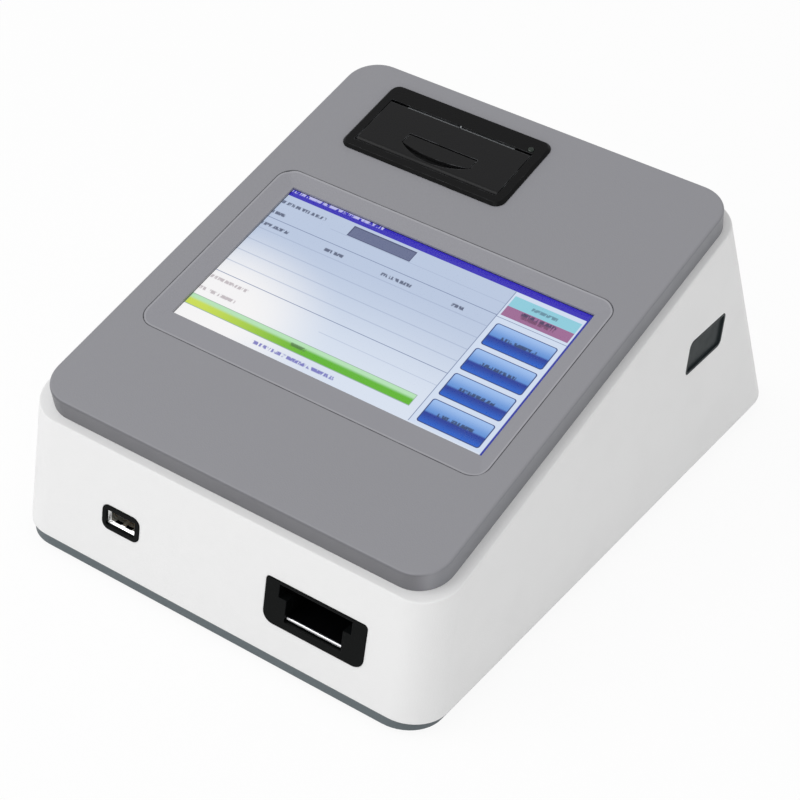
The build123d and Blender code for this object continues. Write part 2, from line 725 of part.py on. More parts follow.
# ---------------------------------------------------------------- display stack
# The surround fills the cover's opening; its face falls in four bevels to the window.
flange_width = surround_width + 2 * FLANGE_LAP
flange_length = surround_length + 2 * FLANGE_LAP
pocket_width = WINDOW_WIDTH + 2 * GLASS_LAP
pocket_length = WINDOW_LENGTH + 2 * GLASS_LAP
glass_z = SURROUND_PLATE + GASKET_THICK
panel_z = glass_z + GLASS_THICK
bracket_z = panel_z + PANEL_THICK
panel_width = WINDOW_WIDTH + 2 * PANEL_LAP
panel_length = WINDOW_LENGTH + 2 * PANEL_LAP
flange_z = COVER_WALL + FLANGE_THICK
tab_x = panel_width / 2 - BRACKET_TAB
tab_y = panel_length / 2 + SPACER_RADIUS + TAB_CLEAR
tab_points = [
    (WINDOW_SHIFT + side * tab_x, window_v + end * tab_y) for side in (-1, 1) for end in (-1, 1)
]
with BuildPart() as display_surround:
    with BuildSketch(cover_plane()):
        with Locations((surround_u, surround_v)):
            RectangleRounded(
                surround_width - 2 * FIT, surround_length - 2 * FIT, SURROUND_CORNER - FIT
            )
    extrude(amount=-flange_z)
    with BuildSketch(cover_plane(COVER_WALL)):
        with Locations((surround_u, surround_v)):
            RectangleRounded(flange_width, flange_length, SURROUND_CORNER)
    extrude(amount=-FLANGE_THICK)
    with BuildSketch(cover_plane(BEVEL_DEPTH)):
        with Locations((WINDOW_SHIFT, window_v)):
            Rectangle(WINDOW_WIDTH, WINDOW_LENGTH)
    with BuildSketch(cover_plane()):
        with Locations((surround_u, surround_v)):
            Rectangle(surround_width - 4 * FIT, surround_length - 4 * FIT)
    loft(ruled=True, mode=Mode.SUBTRACT)
    with BuildSketch(cover_plane()):
        with Locations((WINDOW_SHIFT, window_v)):
            Rectangle(WINDOW_WIDTH, WINDOW_LENGTH)
    extrude(amount=-flange_z, mode=Mode.SUBTRACT)
    with BuildSketch(cover_plane(SURROUND_PLATE)):
        with Locations((WINDOW_SHIFT, window_v)):
            Rectangle(pocket_width + 2 * FIT, pocket_length + 2 * FIT)
    extrude(amount=-flange_z, mode=Mode.SUBTRACT)
    with BuildSketch(cover_plane(flange_z)):
        with Locations(*tab_points):
            Circle(SPACER_RADIUS)
    extrude(amount=flange_z - bracket_z)
display_surround.part.label = "display_surround"
export_step(display_surround.part, "parts/display_surround.step")

with BuildPart() as display_gasket:
    with BuildSketch(cover_plane(SURROUND_PLATE)):
        with Locations((WINDOW_SHIFT, window_v)):
            Rectangle(pocket_width, pocket_length)
            Rectangle(WINDOW_WIDTH, WINDOW_LENGTH, mode=Mode.SUBTRACT)
    extrude(amount=-GASKET_THICK)
display_gasket.part.label = "display_gasket"
export_step(display_gasket.part, "parts/display_gasket.step")

with BuildPart() as touch_glass:
    with BuildSketch(cover_plane(glass_z)):
        with Locations((WINDOW_SHIFT, window_v)):
            Rectangle(pocket_width, pocket_length)
    extrude(amount=-GLASS_THICK)
touch_glass.part.label = "touch_glass"
export_step(touch_glass.part, "parts/touch_glass.step")

with BuildPart() as display_panel:
    with BuildSketch(cover_plane(panel_z)):
        with Locations((WINDOW_SHIFT, window_v)):
            Rectangle(panel_width, panel_length)
    extrude(amount=-PANEL_THICK)
display_panel.part.label = "display_panel"
export_step(display_panel.part, "parts/display_panel.step")

board_z = bracket_z + BRACKET_THICK + SPACER_LENGTH
spacer_points = [
    (WINDOW_SHIFT + side * (BOARD_WIDTH / 2 - SPACER_INSET),
     window_v + end * (BOARD_LENGTH / 2 - SPACER_INSET))
    for side in (-1, 1)
    for end in (-1, 1)
]
with BuildPart() as display_bracket:
    with BuildSketch(cover_plane(bracket_z)):
        with Locations((WINDOW_SHIFT, window_v)):
            Rectangle(panel_width, panel_length)
        with Locations(*tab_points):
            Rectangle(BRACKET_TAB, 4 * SPACER_RADIUS)
        with Locations((WINDOW_SHIFT, window_v)):
            Rectangle(
                BOARD_WIDTH - 4 * BRACKET_RIM, BOARD_LENGTH - 4 * BRACKET_RIM, mode=Mode.SUBTRACT
            )
    extrude(amount=-BRACKET_THICK)
    with BuildSketch(cover_plane(bracket_z + BRACKET_THICK)):
        with Locations(*spacer_points):
            Circle(SPACER_RADIUS)
    extrude(amount=-SPACER_LENGTH)
    with BuildSketch(cover_plane(bracket_z)):
        with Locations(*tab_points):
            Circle(SCREW_RADIUS + RUNNING)
    extrude(amount=-BRACKET_THICK, mode=Mode.SUBTRACT)
display_bracket.part.label = "display_bracket"
export_step(display_bracket.part, "parts/display_bracket.step")

with BuildPart() as display_screws:
    with BuildSketch(cover_plane(bracket_z + BRACKET_THICK)):
        with Locations(*tab_points):
            Circle(SPACER_RADIUS)
    extrude(amount=-SCREW_HEAD)
    with BuildSketch(cover_plane(bracket_z + BRACKET_THICK)):
        with Locations(*tab_points):
            Circle(SCREW_RADIUS)
    extrude(amount=BRACKET_THICK)
display_screws.part.label = "display_screws"
export_step(display_screws.part, "parts/display_screws.step")

with BuildPart() as main_board:
    with BuildSketch(cover_plane(board_z)):
        with Locations((WINDOW_SHIFT, window_v)):
            Rectangle(BOARD_WIDTH, BOARD_LENGTH)
    extrude(amount=-BOARD_THICK)
    with BuildSketch(cover_plane(board_z + BOARD_THICK)):
        with Locations((WINDOW_SHIFT, window_v), (WINDOW_SHIFT + 2 * CHIP_SIDE, window_v)):
            Rectangle(CHIP_SIDE, CHIP_SIDE)
    extrude(amount=-CHIP_THICK)
    with BuildSketch(cover_plane(board_z + BOARD_THICK)):
        with Locations((WINDOW_SHIFT - 2 * CHIP_SIDE, window_v)):
            Rectangle(PLUG_DEPTH, PLUG_WIDTH)
    extrude(amount=-PLUG_DEPTH)
main_board.part.label = "main_board"
export_step(main_board.part, "parts/main_board.step")

# ---------------------------------------------------------------- printer
# The bucket hangs in the cover by its bezel.  Its floor is round under the paper roll,
# with a shelf behind for the print head and a deeper pocket at the gear train's end.
door_v0 = printer_v0 + DOOR_INSET
door_v1 = door_v0 + DOOR_LENGTH
hinge_v = door_v0 + NOSE_RADIUS
hinge_n = BEZEL_HEIGHT - NOSE_RADIUS
platen_v = door_v1 - PLATEN_RADIUS - PLATEN_SET_BACK
platen_n = BEZEL_HEIGHT - PLATEN_DEPTH
tear_v = door_v1 + TEAR_GAP
tear_back = tear_v + TEAR_THICK
bucket_v0 = printer_v - bucket_length / 2
bucket_v1 = printer_v + bucket_length / 2
inner_half = bucket_width / 2 - BUCKET_WALL
roll_v = bucket_v0 + BUCKET_WALL + ROLL_CLEAR + ROLL_RADIUS
roll_n = -ROLL_DEPTH
pitch_platen = PLATEN_TEETH * GEAR_MODULE / 2
pitch_idler = IDLER_TEETH * GEAR_MODULE / 2
pitch_feed = FEED_TEETH * GEAR_MODULE / 2
idler_v = platen_v
idler_n = platen_n - pitch_platen - pitch_idler - MESH_SLACK
feed_reach = pitch_idler + pitch_feed + MESH_SLACK
feed_v = idler_v + feed_reach * math.cos(math.radians(FEED_ANGLE))
feed_n = idler_n + feed_reach * math.sin(math.radians(FEED_ANGLE))
shelf_n = -HEAD_DEPTH - SHELF_DROP
gear_start = DOOR_WIDTH / 2 - CHEEK_THICK - GEAR_SIDE_GAP - GEAR_WIDTH
gear_u = PRINTER_U + gear_start
led_u = PRINTER_U + inner_half - LED_RADIUS - LED_MARGIN
led_v = tear_back + LED_RADIUS + LED_RING

with BuildPart() as printer_bucket:
    with BuildSketch(cover_plane()):
        with Locations((PRINTER_U, printer_v)):
            RectangleRounded(printer_width, PRINTER_LENGTH, PRINTER_CORNER)
    extrude(amount=BEZEL_HEIGHT)
    bezel_face = printer_bucket.faces().sort_by(Axis((0, 0, 0), (0, -sine, cosine)))[-1]
    chamfer(bezel_face.edges(), BEZEL_BEVEL)
    with BuildSketch(cover_plane()):
        with Locations((PRINTER_U, printer_v)):
            RectangleRounded(bucket_width, bucket_length, PRINTER_CORNER - BEZEL_LAP)
    extrude(amount=-(ROLL_DEPTH + ROLL_RADIUS + ROLL_CLEAR + BUCKET_WALL))
    with BuildSketch(cross_plane(PRINTER_U)):
        with Locations((roll_v, roll_n)):
            Circle(ROLL_RADIUS + ROLL_CLEAR)
        with Locations((roll_v, roll_n / 2)):
            Rectangle(2 * (ROLL_RADIUS + ROLL_CLEAR), ROLL_DEPTH)
        with Locations((bucket_v1 - BUCKET_WALL, 0)):
            Rectangle(
                bucket_v1 - BUCKET_WALL - roll_v, -shelf_n, align=(Align.MAX, Align.MAX)
            )
    extrude(amount=inner_half, both=True, mode=Mode.SUBTRACT)
    with BuildSketch(cross_plane(PRINTER_U + inner_half)):
        with Locations((idler_v, idler_n)):
            Circle(pitch_idler + 2 * GEAR_MODULE)
    extrude(amount=-(inner_half - gear_start + OVERRUN), mode=Mode.SUBTRACT)
    with BuildSketch(cover_plane(-BEZEL_HEIGHT)):
        with Locations((PRINTER_U, (door_v0 - GAP + tear_back) / 2)):
            Rectangle(DOOR_WIDTH + 2 * GAP, tear_back - door_v0 + GAP)
    extrude(amount=-3 * BEZEL_HEIGHT, mode=Mode.SUBTRACT)
    with BuildSketch(cover_plane(-BEZEL_HEIGHT)):
        with Locations((led_u, led_v)):
            Circle(LED_RADIUS + FIT)
    extrude(amount=-BEZEL_HEIGHT, mode=Mode.SUBTRACT)
    with BuildSketch(cross_plane(PRINTER_U)):
        with Locations((hinge_v, hinge_n)):
            Circle(HINGE_PIN_RADIUS + RUNNING)
    extrude(amount=bucket_width / 2, both=True, mode=Mode.SUBTRACT)
    with BuildSketch(cross_plane(PRINTER_U + inner_half)):
        with Locations((feed_v, feed_n)):
            Circle(2 * MOTOR_SHAFT_RADIUS)
        with Locations((idler_v, idler_n)):
            Circle(STUD_RADIUS + RUNNING)
    extrude(amount=BUCKET_WALL, mode=Mode.SUBTRACT)
printer_bucket.part.label = "printer_bucket"
export_step(printer_bucket.part, "parts/printer_bucket.step")

# The door is a plate with a full round nose about its hinge and two cheeks that carry
# the platen; a pocket holds the paddle, with a scooped finger recess in front of it.
paddle_v0 = door_v0 + PADDLE_FROM_NOSE + PADDLE_BULGE
paddle_v1 = paddle_v0 + PADDLE_LENGTH - PADDLE_BULGE
paddle_u = PRINTER_U + PADDLE_SHIFT
paddle_nose = PADDLE_THICK / 2
paddle_axis_v = paddle_v1 - paddle_nose
paddle_axis_n = BEZEL_HEIGHT - paddle_nose
cheek_u = DOOR_WIDTH / 2 - CHEEK_THICK
with BuildPart() as printer_door:
    with BuildSketch(cross_plane(PRINTER_U)):
        with Locations((hinge_v, hinge_n)):
            Circle(NOSE_RADIUS)
        with Locations((hinge_v, BEZEL_HEIGHT)):
            Rectangle(DOOR_LENGTH - NOSE_RADIUS, DOOR_THICK, align=(Align.MIN, Align.MAX))
    extrude(amount=DOOR_WIDTH / 2, both=True)
    with BuildSketch(cover_plane(-BEZEL_HEIGHT + DOOR_THICK)):
        with Locations((paddle_u, (hinge_v + paddle_v1 + PADDLE_PIN_BITE) / 2)):
            Rectangle(
                PADDLE_WIDTH + 4 * PADDLE_PIN_BITE, paddle_v1 + PADDLE_PIN_BITE - hinge_v
            )
    extrude(amount=-PADDLE_PIN_BITE)
    with BuildSketch(cross_plane(PRINTER_U + cheek_u)):
        with Locations((platen_v, platen_n)):
            Circle(PLATEN_RADIUS)
        with Locations((platen_v, BEZEL_HEIGHT)):
            Rectangle(2 * PLATEN_RADIUS, PLATEN_DEPTH, align=(Align.CENTER, Align.MAX))
    extrude(amount=CHEEK_THICK)
    with BuildSketch(cross_plane(PRINTER_U - cheek_u)):
        with Locations((platen_v, platen_n)):
            Circle(PLATEN_RADIUS)
        with Locations((platen_v, BEZEL_HEIGHT)):
            Rectangle(2 * PLATEN_RADIUS, PLATEN_DEPTH, align=(Align.CENTER, Align.MAX))
    extrude(amount=-CHEEK_THICK)
    with BuildSketch(cross_plane(PRINTER_U)):
        with Locations((platen_v, platen_n)):
            Circle(BUSH_RADIUS + RUNNING)
        with Locations((hinge_v, hinge_n)):
            Circle(HINGE_PIN_RADIUS + RUNNING)
    extrude(amount=DOOR_WIDTH / 2, both=True, mode=Mode.SUBTRACT)
    with BuildSketch(cover_plane(-BEZEL_HEIGHT)):
        with BuildLine():
            Line((paddle_u - PADDLE_WIDTH / 2 - GAP, paddle_v0),
                 (paddle_u - PADDLE_WIDTH / 2 - GAP, paddle_v1 + GAP))
            Line((paddle_u - PADDLE_WIDTH / 2 - GAP, paddle_v1 + GAP),
                 (paddle_u + PADDLE_WIDTH / 2 + GAP, paddle_v1 + GAP))
            Line((paddle_u + PADDLE_WIDTH / 2 + GAP, paddle_v1 + GAP),
                 (paddle_u + PADDLE_WIDTH / 2 + GAP, paddle_v0))
            ThreePointArc(
                (paddle_u + PADDLE_WIDTH / 2 + GAP, paddle_v0),
                (paddle_u, hinge_v),
                (paddle_u - PADDLE_WIDTH / 2 - GAP, paddle_v0),
            )
        make_face()
    extrude(amount=-PADDLE_THICK - GAP, mode=Mode.SUBTRACT)
    with BuildSketch(cross_plane(paddle_u)):
        with Locations((paddle_axis_v, paddle_axis_n)):
            Circle(PADDLE_PIN_RADIUS)
    extrude(amount=PADDLE_WIDTH / 2 + PADDLE_PIN_BITE, both=True, mode=Mode.SUBTRACT)
printer_door.part.label = "printer_door"
export_step(printer_door.part, "parts/printer_door.step")

with BuildPart() as door_hinge_pin:
    with BuildSketch(cross_plane(PRINTER_U)):
        with Locations((hinge_v, hinge_n)):
            Circle(HINGE_PIN_RADIUS)
    extrude(amount=bucket_width / 2, both=True)
door_hinge_pin.part.label = "door_hinge_pin"
export_step(door_hinge_pin.part, "parts/door_hinge_pin.step")

with BuildPart() as door_paddle:
    with BuildSketch(cover_plane(-BEZEL_HEIGHT)):
        with BuildLine():
            Polyline(
                (paddle_u - PADDLE_WIDTH / 2, paddle_v0),
                (paddle_u - PADDLE_WIDTH / 2, paddle_axis_v),
                (paddle_u + PADDLE_WIDTH / 2, paddle_axis_v),
                (paddle_u + PADDLE_WIDTH / 2, paddle_v0),
            )
            ThreePointArc(
                (paddle_u + PADDLE_WIDTH / 2, paddle_v0),
                (paddle_u, paddle_v0 - PADDLE_BULGE),
                (paddle_u - PADDLE_WIDTH / 2, paddle_v0),
            )
        make_face()
    extrude(amount=-PADDLE_THICK)
    with BuildSketch(cross_plane(paddle_u)):
        with Locations((paddle_axis_v, paddle_axis_n)):
            Circle(paddle_nose)
    extrude(amount=PADDLE_WIDTH / 2, both=True)
    with BuildSketch(cross_plane(paddle_u)):
        with Locations((paddle_axis_v, paddle_axis_n)):
            Circle(PADDLE_PIN_RADIUS + RUNNING)
    extrude(amount=PADDLE_WIDTH / 2, both=True, mode=Mode.SUBTRACT)
door_paddle.part.label = "door_paddle"
export_step(door_paddle.part, "parts/door_paddle.step")

with BuildPart() as paddle_pin:
    with BuildSketch(cross_plane(paddle_u)):
        with Locations((paddle_axis_v, paddle_axis_n)):
            Circle(PADDLE_PIN_RADIUS)
    extrude(amount=PADDLE_WIDTH / 2 + PADDLE_PIN_BITE, both=True)
paddle_pin.part.label = "paddle_pin"
export_step(paddle_pin.part, "parts/paddle_pin.step")

with BuildPart() as platen_shaft:
    with BuildSketch(cross_plane(PRINTER_U)):
        with Locations((platen_v, platen_n)):
            Circle(PLATEN_SHAFT_RADIUS)
    extrude(amount=DOOR_WIDTH / 2 - SHAFT_END_INSET, both=True)
platen_shaft.part.label = "platen_shaft"
export_step(platen_shaft.part, "parts/platen_shaft.step")

with BuildPart() as platen_roller:
    with BuildSketch(cross_plane(PRINTER_U)):
        with Locations((platen_v, platen_n)):
            Circle(PLATEN_RADIUS)
            Circle(PLATEN_SHAFT_RADIUS, mode=Mode.SUBTRACT)
    extrude(amount=roll_width / 2 - PLATEN_INSET, both=True)
platen_roller.part.label = "platen_roller"
export_step(platen_roller.part, "parts/platen_roller.step")

with BuildPart() as platen_bushes:
    with BuildSketch(cross_plane(PRINTER_U + cheek_u - BUSH_LAND)):
        with Locations((platen_v, platen_n)):
            Circle(BUSH_RADIUS)
            Circle(PLATEN_SHAFT_RADIUS + RUNNING, mode=Mode.SUBTRACT)
    extrude(amount=CHEEK_THICK + BUSH_LAND)
    with BuildSketch(cross_plane(PRINTER_U - cheek_u + BUSH_LAND)):
        with Locations((platen_v, platen_n)):
            Circle(BUSH_RADIUS)
            Circle(PLATEN_SHAFT_RADIUS + RUNNING, mode=Mode.SUBTRACT)
    extrude(amount=-CHEEK_THICK - BUSH_LAND)
platen_bushes.part.label = "platen_bushes"
export_step(platen_bushes.part, "parts/platen_bushes.step")

# Gear train: the platen's gear points a tooth down at a gap of the idler, and the idler
# shows a gap to a tooth of the motor's pinion.
platen_face = gear_face(PLATEN_TEETH, GEAR_MODULE, -90)
idler_face = gear_face(IDLER_TEETH, GEAR_MODULE, 90 + 180 / IDLER_TEETH)
feed_face = gear_face(FEED_TEETH, GEAR_MODULE, FEED_ANGLE + 180)
with BuildPart() as platen_gear:
    with BuildSketch(cross_plane(gear_u, platen_v, platen_n)):
        add(platen_face)
        Circle(PLATEN_SHAFT_RADIUS, mode=Mode.SUBTRACT)
    extrude(amount=GEAR_WIDTH)
platen_gear.part.label = "platen_gear"
export_step(platen_gear.part, "parts/platen_gear.step")

with BuildPart() as idler_gear:
    with BuildSketch(cross_plane(gear_u, idler_v, idler_n)):
        add(idler_face)
        Circle(STUD_RADIUS + RUNNING, mode=Mode.SUBTRACT)
    extrude(amount=GEAR_WIDTH)
idler_gear.part.label = "idler_gear"
export_step(idler_gear.part, "parts/idler_gear.step")

with BuildPart() as idler_stud:
    with BuildSketch(cross_plane(PRINTER_U + inner_half + BUCKET_WALL)):
        with Locations((idler_v, idler_n)):
            Circle(STUD_RADIUS)
    extrude(amount=-(inner_half + BUCKET_WALL - gear_start + STUD_END))
idler_stud.part.label = "idler_stud"
export_step(idler_stud.part, "parts/idler_stud.step")

motor_u = PRINTER_U + bucket_width / 2
with BuildPart() as feed_motor:
    with BuildSketch(cross_plane(motor_u)):
        with Locations((feed_v, feed_n)):
            Circle(MOTOR_RADIUS)
            Circle(MOTOR_SHAFT_RADIUS + RUNNING, mode=Mode.SUBTRACT)
    extrude(amount=MOTOR_LENGTH)
feed_motor.part.label = "feed_motor"
export_step(feed_motor.part, "parts/feed_motor.step")

with BuildPart() as feed_pinion:
    with BuildSketch(cross_plane(gear_u, feed_v, feed_n)):
        add(feed_face)
    extrude(amount=GEAR_WIDTH)
    with BuildSketch(cross_plane(gear_u)):
        with Locations((feed_v, feed_n)):
            Circle(MOTOR_SHAFT_RADIUS)
    extrude(amount=motor_u + MOTOR_LENGTH - gear_u)
feed_pinion.part.label = "feed_pinion"
export_step(feed_pinion.part, "parts/feed_pinion.step")

# The head's face stands square to the line from the hinge to the roller, so that the
# roller leaves it without rubbing when the door swings up.
press_angle = math.degrees(math.atan2(platen_n - hinge_n, platen_v - hinge_v))
press_plane = cross_plane(PRINTER_U, platen_v, platen_n).rotated((press_angle, 0, 0))
head_foot_v = platen_v + PLATEN_RADIUS - HEAD_THICK / 2
with BuildPart() as print_head:
    with BuildSketch(press_plane):
        with Locations((PLATEN_RADIUS + HEAD_GAP, HEAD_RISE)):
            Rectangle(HEAD_THICK, HEAD_DEPTH, align=(Align.MIN, Align.MAX))
    with BuildSketch(cross_plane(PRINTER_U)):
        with Locations((head_foot_v, shelf_n)):
            Rectangle(3 * HEAD_THICK, HEAD_THICK, align=(Align.MIN, Align.MIN))
    extrude(amount=roll_width / 2 - HEAD_INSET, both=True)
    split(bisect_by=cover_plane(-shelf_n), keep=Keep.TOP)
print_head.part.label = "print_head"
export_step(print_head.part, "parts/print_head.step")

tear_teeth = int(roll_width / TEAR_PITCH)
tear_root = BEZEL_HEIGHT - TEAR_PITCH / 2
with BuildPart() as tear_bar:
    with BuildSketch(cover_plane(-tear_root)):
        with Locations((PRINTER_U, tear_v)):
            Rectangle(roll_width, TEAR_THICK, align=(Align.CENTER, Align.MIN))
    extrude(amount=-tear_root - BEZEL_HEIGHT)
    with BuildSketch(Plane(origin=cover_plane().from_local_coords((PRINTER_U, tear_v, tear_root)),
                           x_dir=(1, 0, 0), z_dir=(0, -cosine, -sine))):
        with GridLocations(TEAR_PITCH, 0, tear_teeth, 1):
            with BuildLine():
                Polyline(
                    (-TEAR_PITCH / 2, 0), (TEAR_PITCH / 2, 0), (0, TEAR_PITCH / 2 + TEAR_PROUD),
                    close=True,
                )
            make_face()
    extrude(amount=-TEAR_THICK)
tear_bar.part.label = "tear_bar"
export_step(tear_bar.part, "parts/tear_bar.step")

with BuildPart() as status_led:
    with BuildSketch(cover_plane()):
        with Locations((led_u, led_v)):
            Circle(LED_RADIUS + LED_RING)
    extrude(amount=-LED_FLANGE)
    with BuildSketch(cover_plane()):
        with Locations((led_u, led_v)):
            Circle(LED_RADIUS)
    extrude(amount=BEZEL_HEIGHT + LED_RADIUS / 3)
    fillet(status_led.edges().group_by(Axis((0, 0, 0), (0, -sine, cosine)))[-1], LED_RADIUS / 2)
status_led.part.label = "status_led"
export_step(status_led.part, "parts/status_led.step")

with BuildPart() as paper_roll:
    with BuildSketch(cross_plane(PRINTER_U)):
        with Locations((roll_v, roll_n)):
            Circle(ROLL_RADIUS)
            Circle(ROLL_CORE, mode=Mode.SUBTRACT)
    extrude(amount=roll_width / 2, both=True)
paper_roll.part.label = "paper_roll"
export_step(paper_roll.part, "parts/paper_roll.step")

# ---------------------------------------------------------------- test card slot
# The bezel's mouth is a T: a narrow card channel under a wider head.  The card floor's
# bright front edge lies in a shallow slot at the bottom of the mouth.
bezel_back_y = front_y + SLOT_BEZEL_DEPTH
plate_front_y = front_y + PLATE_SET_BACK
card_z1 = CARD_FLOOR + CARD_HEIGHT
card_z2 = card_z1 + CARD_TOP_HEIGHT
plate_z = CARD_FLOOR - PLATE_THICK
with BuildPart() as slot_bezel:
    with BuildSketch(front_wall.offset(SLOT_BEZEL_PROUD)):
        with Locations((CARD_X, slot_z - shell_z)):
            add(slot_outline(0.0))
    extrude(amount=-SHELL_WALL - 2 * SLOT_BEZEL_PROUD)
    chamfer(slot_bezel.faces().sort_by(Axis.Y)[0].edges(), SLOT_BEZEL_PROUD / 2)
    with BuildSketch(front_wall.offset(-SHELL_WALL - FIT)):
        with Locations((CARD_X, slot_z - shell_z)):
            RectangleRounded(
                SLOT_BEZEL_WIDTH + 2 * SLOT_LAP,
                SLOT_BEZEL_HEIGHT + 2 * SLOT_LAP,
                SLOT_BEZEL_CORNER,
            )
    extrude(amount=-SLOT_FLANGE)
    with BuildSketch(upright_plane(front_y - OVERRUN)):
        with Locations((CARD_X, CARD_FLOOR)):
            Rectangle(CARD_WIDTH, CARD_HEIGHT, align=(Align.CENTER, Align.MIN))
        with Locations((CARD_X, card_z1)):
            Rectangle(CARD_TOP_WIDTH, CARD_TOP_HEIGHT, align=(Align.CENTER, Align.MIN))
        with Locations((CARD_X, CARD_FLOOR)):
            Rectangle(
                CARD_WIDTH + PLATE_SIDE_GAP, PLATE_THICK + GAP, align=(Align.CENTER, Align.MAX)
            )
    extrude(amount=-2 * SLOT_BEZEL_DEPTH, mode=Mode.SUBTRACT)
slot_bezel.part.label = "slot_bezel"
export_step(slot_bezel.part, "parts/slot_bezel.step")

# ---------------------------------------------------------------- card transport
carriage_y0 = bezel_back_y + CARRIAGE_BEHIND
carriage_y1 = carriage_y0 + CARRIAGE_LENGTH
carriage_z0 = plate_z - CARRIAGE_FLOOR
drive_pitch_radius = DRIVE_TEETH * RACK_MODULE / 2
rack_z = carriage_z0 - RACK_BODY - RACK_MODULE
drive_y = carriage_y1 - DRIVE_BACK
drive_z = rack_z - drive_pitch_radius - MESH_SLACK
rack_pitch = math.pi * RACK_MODULE
ear_y0 = chassis_y0 + POST_THICK + EAR_SET_BACK
rod_points = [(CARD_X - ROD_SPREAD, ROD_HEIGHT), (CARD_X + ROD_SPREAD, ROD_HEIGHT)]
ear_width = ROD_SPREAD - CARRIAGE_WIDTH / 2 + EAR_BITE
ear_middle = ROD_SPREAD - ear_width / 2
rack_middle = -(RACK_TEETH / 2 - RACK_LEAD) * rack_pitch
with BuildPart() as card_carriage:
    with BuildSketch(upright_plane(carriage_y0)):
        with Locations((CARD_X, carriage_z0)):
            Rectangle(
                CARRIAGE_WIDTH, card_z2 - CARRIAGE_TOP_DROP - carriage_z0, align=(Align.CENTER, Align.MIN)
            )
    extrude(amount=-CARRIAGE_LENGTH)
    with BuildSketch(upright_plane(carriage_y0)):
        with Locations((CARD_X, plate_z)):
            Rectangle(CARD_WIDTH + 2 * CHANNEL_GAP, card_z2, align=(Align.CENTER, Align.MIN))
        with Locations((CARD_X, card_z1)):
            Rectangle(CARD_TOP_WIDTH + 2 * CHANNEL_GAP, card_z2, align=(Align.CENTER, Align.MIN))
    extrude(amount=END_WALL - CARRIAGE_LENGTH, mode=Mode.SUBTRACT)
    with BuildSketch(upright_plane(ear_y0)):
        with Locations(*rod_points):
            Circle(EAR_HALF)
        with Locations((CARD_X - ear_middle, ROD_HEIGHT), (CARD_X + ear_middle, ROD_HEIGHT)):
            Rectangle(ear_width, 2 * EAR_HALF)
    extrude(amount=-EAR_LENGTH)
    with BuildSketch(upright_plane(ear_y0)):
        with Locations(*rod_points):
            Circle(ROD_RADIUS + RUNNING + BUSH_WALL)
    extrude(amount=-EAR_LENGTH, mode=Mode.SUBTRACT)
    with BuildSketch(side_plane(CARD_X, drive_y, rack_z)):
        with Locations((rack_middle, RACK_MODULE)):
            Rectangle(RACK_TEETH * rack_pitch, RACK_BODY, align=(Align.CENTER, Align.MIN))
        with Locations((rack_middle, RACK_MODULE)):
            with GridLocations(rack_pitch, 0, RACK_TEETH, 1):
                Trapezoid(
                    rack_pitch / 2 + RACK_TOOTH_FOOT * RACK_MODULE,
                    RACK_TOOTH_RISE * RACK_MODULE,
                    RACK_FLANK,
                    align=(Align.CENTER, Align.MIN),
                    rotation=180,
                )
    extrude(amount=RACK_WIDTH / 2, both=True)
card_carriage.part.label = "card_carriage"
export_step(card_carriage.part, "parts/card_carriage.step")

with BuildPart() as card_floor_plate:
    with BuildSketch(Plane.XY.offset(plate_z)):
        with Locations((CARD_X, plate_front_y)):
            Rectangle(
                CARD_WIDTH - 2 * FIT,
                carriage_y1 - END_WALL - FIT - plate_front_y,
                align=(Align.CENTER, Align.MIN),
            )
    extrude(amount=PLATE_THICK)
    fillet(card_floor_plate.edges().filter_by(Axis.X).sort_by(Axis.Y)[:2], PLATE_THICK / 3)
card_floor_plate.part.label = "card_floor_plate"
export_step(card_floor_plate.part, "parts/card_floor_plate.step")

bush_starts = [ear_y0, ear_y0 + EAR_LENGTH - BUSH_LENGTH]
with BuildPart() as carriage_bushes:
    for bush_y in bush_starts:
        with BuildSketch(upright_plane(bush_y)):
            with Locations(*rod_points):
                Circle(ROD_RADIUS + RUNNING + BUSH_WALL)
            with Locations(*rod_points):
                Circle(ROD_RADIUS + RUNNING, mode=Mode.SUBTRACT)
        extrude(amount=-BUSH_LENGTH)
carriage_bushes.part.label = "carriage_bushes"
export_step(carriage_bushes.part, "parts/carriage_bushes.step")

with BuildPart() as guide_rods:
    with BuildSketch(upright_plane(chassis_y0)):
        with Locations(*rod_points):
            Circle(ROD_RADIUS)
    extrude(amount=-ROD_LENGTH)
guide_rods.part.label = "guide_rods"
export_step(guide_rods.part, "parts/guide_rods.step")

